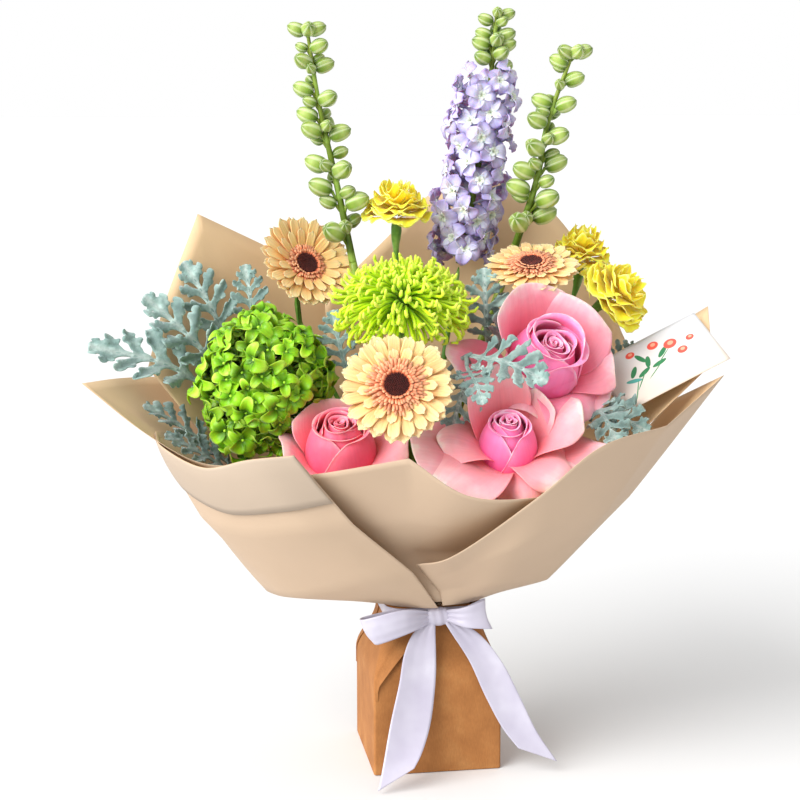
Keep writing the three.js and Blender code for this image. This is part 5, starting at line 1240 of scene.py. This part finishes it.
card_across = unit(CARD_ACROSS)
card_face = unit(np.cross(card_across, CARD_UP))
card_up = np.cross(card_face, card_across)
s, t = np.meshgrid(np.linspace(-0.5, 0.5, 24), np.linspace(-0.5, 0.5, 18))
bow_out = 1.6 * (0.25 - s**2)  # a card that leans is bowed a little
card = Growth()
card.sheet(CARD_CENTRE + (s * CARD_WIDTH)[..., None] * card_across + (t * CARD_HEIGHT)[..., None] * card_up
           + bow_out[..., None] * card_face)
card.piece("greeting_card_printed", printed_card, "card", "greeting_card", thick=0.6)

# %% [markdown]
# ## Carry box
# The box is one sheet of unbleached kraft card, about 1 mm thick, with four flaps that curve in to the neck
# and lap over each other like a pinwheel. Card can't be creased to a sharp edge, so its corners have a small
# radius. The body is a stack of rounded squares; each flap is a second layer that ends in a curved edge.

# %% Kraft card
kraft, shader = new_material("kraft_card_unbleached")
place = add(kraft, "TexCoord").outputs["Object"]
grain = add(kraft, "Mapping", {"vector_type": "POINT"}, Vector=place, Scale=(1.0, 1.0, 0.25)).outputs[0]
# fibres about 1 mm wide
fibres = add(kraft, "TexNoise", Vector=grain, Scale=900.0, Detail=4.0, Roughness=0.6).outputs["Fac"]
cloud = add(kraft, "TexNoise", Vector=place, Scale=45.0, Detail=3.0).outputs["Fac"]
browns = {"stops": [[0.3, "#9C6431"], [0.55, "#A86E39"], [0.8, "#B47D46"]]}
colour = add(kraft, "ValToRGB", browns, Fac=cloud).outputs["Color"]
fleck = add(kraft, "MapRange", Value=fibres, From_Min=0.3, From_Max=0.75, To_Min=0.86, To_Max=1.08).outputs[0]
colour = add(kraft, "Mix", TIMES, _0=1.0, _6=colour, _7=fleck).outputs[2]
bump = add(kraft, "Bump", Height=fibres, Strength=0.2, Distance=0.0003).outputs[0]
give(kraft, shader, Base_Color=colour, Roughness=0.82, IOR=FIBRE_IOR, Normal=bump)

# %% The folded box
BOX_HALF, NECK_HALF, SHOULDER, NECK = 58, 43, 84, 138
BOX_CORNER, NECK_CORNER, CARD_THICK, FLAP_THICK = 2.2, 16, 1, 0.75
FLAP_FOOT, FRONT_LIFT, FLAP_LIFT = 72, 4.0, 0.6  # the front flap stands off further than the others


def neck_share(z):
    return ease((z - SHOULDER) / (NECK - SHOULDER))


def box_half(z):
    return mix(BOX_HALF, NECK_HALF, neck_share(z))


def box_corner(z):
    return mix(BOX_CORNER, NECK_CORNER, neck_share(z))


def box_ring(half, corner, z):
    points = []
    for q, (cx, cy) in enumerate(((1, 1), (-1, 1), (-1, -1), (1, -1))):
        for a in (q + np.linspace(0, 1, 9)) * math.pi / 2:
            points.append((cx * (half - corner) + corner * math.cos(a),
                           cy * (half - corner) + corner * math.sin(a), z))
        nx, ny = ((0, 1), (-1, 0), (0, -1), (1, 0))[q]
        for flat in (half - corner) * np.linspace(-0.8, 0.8, 9):
            points.append((nx * half - ny * flat, ny * half + nx * flat, z))
    return points


def close_ends(growth, start, rows, wide):
    """Closes the two ends of a wrapped sheet with a face each."""
    growth.faces.append(tuple(start + i for i in range(wide - 1, -1, -1)))
    growth.faces.append(tuple(start + (rows - 1) * wide + i for i in range(wide)))


def flap_row(z, lift):
    """One level of a flap on the front wall, from its fold to its curved edge."""
    half, s = box_half(z), np.linspace(0, 1, 12)
    climb = np.clip((z - FLAP_FOOT) / (NECK - FLAP_FOOT), 0, 1)
    edge, fold = mix(-1, -0.2, climb**1.4) * half, -half + box_corner(z)
    x = mix(fold - 1.2, max(edge, fold + 1.2), s)
    out = -half - 0.62 - lift * s**1.3 * ease(climb * 3)
    return np.stack([x, out, np.full_like(x, z)], -1)


def carry_box():
    levels = np.concatenate([[0, 0.6, 2], np.linspace(8, SHOULDER - 6, 8),
                             np.linspace(SHOULDER - 3, NECK + 2, 24),
                             [145, COLLAR_TOP - 0.4, COLLAR_TOP]])
    walls = [box_ring(box_half(z) - (0.5 if z in (0, COLLAR_TOP) else 0), box_corner(z), z) for z in levels]
    inside = [box_ring(box_half(z) - CARD_THICK, max(box_corner(z) - CARD_THICK, 1), max(z, CARD_THICK))
              for z in levels[::-1]]
    box = Growth()
    box.sheet(np.array(walls + inside), wrap=True)
    close_ends(box, 0, 2 * len(levels), len(walls[0]))
    flap_levels = np.concatenate([[70, 74, 79], np.linspace(SHOULDER, NECK, 22)])
    for quarter in range(4):
        front = np.array([flap_row(z, FLAP_LIFT if quarter else FRONT_LIFT) for z in flap_levels])
        both = spun(np.concatenate([front, (front + [0, FLAP_THICK, 0])[:, ::-1]], axis=1),
                    quarter * math.pi / 2)
        start = box.count
        box.sheet(both, wrap=True)
        close_ends(box, start, *both.shape[:2])
    piece = box.piece("carry_box_kraft_card", kraft, "kraft", "carry_box", turn=0)
    piece.data.set_sharp_from_angle(angle=math.radians(28))


carry_box()

# %% [markdown]
# ## Satin ribbon
# A woven satin ribbon is smooth because its warp threads float over many wefts, so it shines in bands across
# the light and shows hardly any weave. Its 0.12 mm threads are drawn as random streaks 0.4 mm wide. The bow
# is one 32 mm ribbon: a band round the neck, two loops, a knot and two tails that hang in front of the box
# and end in slanted cuts. Each length is a sheet of cloth of its own.

# %% Satin
satin, shader = new_material("satin_ribbon_white_woven")
marks = add(satin, "Attribute", {"attribute_name": "petal"}).outputs["Vector"]
floats = add(satin, "VectorMath", {"operation": "MULTIPLY"}, _0=marks, _1=(80, 5, 0)).outputs[0]
threads = add(satin, "TexNoise", Vector=floats, Scale=1.0, Detail=1.0).outputs["Fac"]
place = add(satin, "TexCoord").outputs["Object"]
cloud = add(satin, "TexNoise", Vector=place, Scale=40.0, Detail=2.0).outputs["Fac"]
whites = {"stops": [[0.3, "#B4AFC0"], [0.6, "#BEBAC9"], [0.8, "#C8C5D2"]]}
colour = add(satin, "ValToRGB", whites, Fac=cloud).outputs["Color"]
bump = add(satin, "Bump", Height=threads, Strength=0.06, Distance=0.0002).outputs[0]
give(satin, shader, Base_Color=colour, Roughness=0.36, IOR=1.5, Anisotropic=0.4, Sheen_Weight=0.25,
     Sheen_Roughness=0.3, Normal=bump)

# %% Tails and loops
RIBBON_THICK = 0.35


def ribbon(name, left, right, held, belly, pleats, replaced=()):
    """A length of ribbon between its two edges, bowed a little across, with pleats that fade along it."""
    t, s = np.linspace(0, 1, 60), np.linspace(0, 1, 17)
    a, b = spline(left, t), spline(right, t)
    middle = (a + b) / 2
    travel = np.gradient(middle, axis=0)
    normal = np.cross(b - a, travel)
    normal /= np.linalg.norm(normal, axis=1)[:, None]
    grid = a[:, None] + (b - a)[:, None] * s[None, :, None]
    arc = belly * np.sin(np.pi * s)[None, :] * np.sin(np.pi * np.clip(t, 0.05, 0.95))[:, None]
    gathered = np.exp(-t * 7) + (held == "folded") * np.exp((t - 1) * 7)
    gather = pleats * np.cos(s * 6 * np.pi)[None, :] * gathered[:, None]
    grid = grid + normal[:, None] * (arc + gather)[..., None]
    cloth = Growth()
    cloth.sheet(grid)
    piece = cloth.piece(name, satin, "satin", *replaced, thick=RIBBON_THICK, turn=0)


ribbon("ribbon_tail_left",
       [(-9, -55, 144), (-24, -61, 131), (-32, -65, 114), (-37, -68, 88), (-46, -77, 56), (-55, -91, 22),
        (-61, -102, 3.5)],
       [(-2, -54, 142), (-3, -60, 131), (-3, -63, 113), (-3.5, -65, 91), (-10, -75, 52), (-20, -88, 30),
        (-28, -96, 20)],
       "hung", belly=1.6, pleats=0.8, replaced=["ribbon_bow"])
ribbon("ribbon_tail_right",
       [(4, -55, 143), (11, -60, 131), (27, -63, 105), (41.5, -66, 72), (57, -70, 42), (70, -76, 25)],
       [(10, -54, 144), (35, -61, 130), (56, -65, 104), (73, -68, 70), (88, -72, 38), (105, -80, 12)],
       "hung", belly=1.8, pleats=0.8)
ribbon("ribbon_loop_left",
       [(-3, -53, 140), (-30, -68, 134), (-56, -66, 125), (-58, -61, 124.5), (-55, -56, 126),
        (-32, -53.5, 137), (-5, -51, 141)],
       [(-5, -53, 149), (-33, -70, 157), (-68, -64, 148), (-70.5, -59, 147), (-68, -54, 147),
        (-34, -52.5, 152), (-6, -50, 148)],
       "folded", belly=2.2, pleats=0.9)
ribbon("ribbon_loop_right",
       [(4, -53, 141), (22, -70, 138), (45, -71, 136), (47, -67, 135), (46, -62, 136), (25, -54.5, 138),
        (6, -51, 141)],
       [(5, -53, 150), (22, -71, 157), (38, -71, 162.5), (40.5, -66, 162.5), (39, -62, 161.5), (23, -54, 152),
        (7, -51, 149)],
       "folded", belly=2.2, pleats=0.9)

# %% Knot and band
# The knot is a short turn of the same ribbon, gathered and pulled tight round the middle.
turn = np.linspace(-0.35 * np.pi, 1.35 * np.pi, 40)
knot_rows = []
for s in np.linspace(-1, 1, 21):
    fold = 0.6 * np.sin(s * 9 + 0.8 * np.sin(turn * 2)) * (0.4 + 0.6 * np.sin(turn) ** 2)
    out = 6.2 * (1 - 0.32 * s**2) + fold * 0.8
    knot_rows.append(np.stack([s * 9.5 * (1 - 0.1 * np.cos(turn * 2)), -53 - out * np.sin(turn) * 0.9,
                               144.5 + (8.6 * (1 - 0.18 * s**2) + fold * 0.5) * np.cos(turn)], -1))
knot = Growth()
knot.sheet(np.array(knot_rows).transpose(1, 0, 2))
knot_piece = knot.piece("ribbon_knot", satin, "satin", thick=RIBBON_THICK, turn=0)

# The band goes once round the neck and rests on the collar.
BAND_LEVELS = ((139.0, 0.2), (139.6, 0.0), (142.5, 0.35), (146.0, 0.35), (149.4, 0.0), (150.0, 0.2))
band = Growth()
band.sheet(np.array([box_ring(NECK_HALF + 0.85 - dent * 0.4, NECK_CORNER + 1, z) for z, dent in BAND_LEVELS]),
           wrap=True)
band_piece = band.piece("ribbon_band_satin", satin, "satin", "ribbon_band", thick=RIBBON_THICK, turn=0)

# %% [markdown]
# ## Inside the box
# Out of sight, the stems are bound with twine and stand in water in a bag of clear film. Bag and tie are
# rounded copies of their solids, and the water keeps its own. Film and water differ in refractive index.

# %% Film, water and twine
film, shader = new_material("clear_polypropylene_film_blown")
place = add(film, "TexCoord").outputs["Object"]
haze = add(film, "TexNoise", Vector=place, Scale=60.0, Detail=2.0).outputs["Fac"]
rough = add(film, "MapRange", Value=haze, To_Min=0.08, To_Max=0.22).outputs[0]
give(film, shader, Base_Color=linear("#E6EFF0"), Roughness=rough, IOR=1.49, Transmission_Weight=0.85)
water, shader = new_material("clear_water")
place = add(water, "TexCoord").outputs["Object"]
ripple = add(water, "TexNoise", Vector=place, Scale=30.0).outputs["Fac"]
bump = add(water, "Bump", Height=ripple, Strength=0.05, Distance=0.001).outputs[0]
give(water, shader, Base_Color=linear("#DCEBEC"), Roughness=0.02, IOR=1.333, Transmission_Weight=1.0,
     Normal=bump)
twine, shader = new_material("jute_twine_twisted")
place = add(twine, "TexCoord").outputs["Object"]
strands = add(twine, "TexWave", Vector=place, Scale=220.0, Distortion=2.0).outputs["Fac"]
colour = add(twine, "ValToRGB", {"stops": [[0, "#7C6A45"], [1, "#B09C70"]]}, Fac=strands).outputs["Color"]
bump = add(twine, "Bump", Height=strands, Strength=0.6, Distance=0.0005).outputs[0]
give(twine, shader, Base_Color=colour, Roughness=0.9, Normal=bump)

rounded_copy("water_bag", "water_bag_film", film, "film", levels=1)
rounded_copy("twine_tie", "twine_tie_twisted", twine, "twine", levels=2)
nodes["water"].data.materials.clear()
nodes["water"].data.materials.append(water)

# %% [markdown]
# ## Floor, light and camera
# The floor is a wide pale sweep. A white surround fills the shadows, and a broad lamp from the upper left
# models the petals: its disc is fifty degrees wide, so its shadows are soft. A weaker one, low on the left,
# reaches the box under the paper. The camera sees the surround as plain white. It stands 1.6 m away, ten
# degrees above the horizon and nine to the left of the box's front.

# %% Studio
SKY, LAMP_DISC = 0.72, math.radians(50)
# each lamp's strength, and where its light comes from
LAMPS = {"key_left": (3.8, (-0.71, -0.44, 0.55)), "low_left": (0.9, (-0.95, -0.26, 0.17))}
FLOOR, SINK = 30, 0.0005  # half the floor's width, and how far it lies under the box, in metres
floor_mesh = bpy.data.meshes.new("studio_floor")
corners = [(x * FLOOR, y * FLOOR, -SINK) for x, y in ((-1, -1), (1, -1), (1, 1), (-1, 1))]
floor_mesh.from_pydata(corners, [], [(0, 1, 2, 3)])
floor = bpy.data.objects.new("studio_floor", floor_mesh)
bpy.context.scene.collection.objects.link(floor)
floor_paint, shader = new_material("pale_matt_floor")
give(floor_paint, shader, Base_Color=linear("#E2E2E2"), Roughness=0.9)
floor.data.materials.append(floor_paint)

world = bpy.data.worlds.new("studio")
bpy.context.scene.world = world
world.use_nodes = True
surround = world.node_tree.nodes["Background"]
give(world, surround, Color=linear("#FFFFFF"), Strength=SKY)
backdrop = add(world, "Background", Color=linear("#FFFFFF"))  # what stands behind the object is plain white
seen = add(world, "LightPath").outputs["Is Camera Ray"]
either = add(world, "MixShader", _0=seen, _1=surround.outputs[0], _2=backdrop.outputs[0])
give(world, world.node_tree.nodes["World Output"], Surface=either.outputs[0])
bpy.context.scene.view_settings.view_transform = "Standard"  # hex colours come out as they were picked

for name, (strength, source) in LAMPS.items():
    lamp = bpy.data.objects.new(name, bpy.data.lights.new(name, "SUN"))
    lamp.data.energy, lamp.data.angle = strength, LAMP_DISC
    bpy.context.scene.collection.objects.link(lamp)
    lamp.rotation_mode = "QUATERNION"
    lamp.rotation_quaternion = Vector(source).to_track_quat("Z", "Y")

# %% Camera
PHOTO_TURN = math.radians(9.12)  # the view is this far to the left of the box's front
SENSOR, LENS = 36, 80
CAMERA_PLACE, CAMERA_TARGET = (-24.98, -1579.07, 613.1), (-24.98, -4.01, 331.7)
camera = bpy.data.objects.new("camera", bpy.data.cameras.new("camera"))
bpy.context.scene.collection.objects.link(camera)
camera.data.sensor_width, camera.data.lens = SENSOR, LENS
place, target = (Vector(in_metres(p, -PHOTO_TURN)) for p in (CAMERA_PLACE, CAMERA_TARGET))
camera.location = place
camera.rotation_mode = "QUATERNION"
camera.rotation_quaternion = (target - place).to_track_quat("-Z", "Y")
camera.data.clip_end = 100
bpy.context.scene.camera = camera
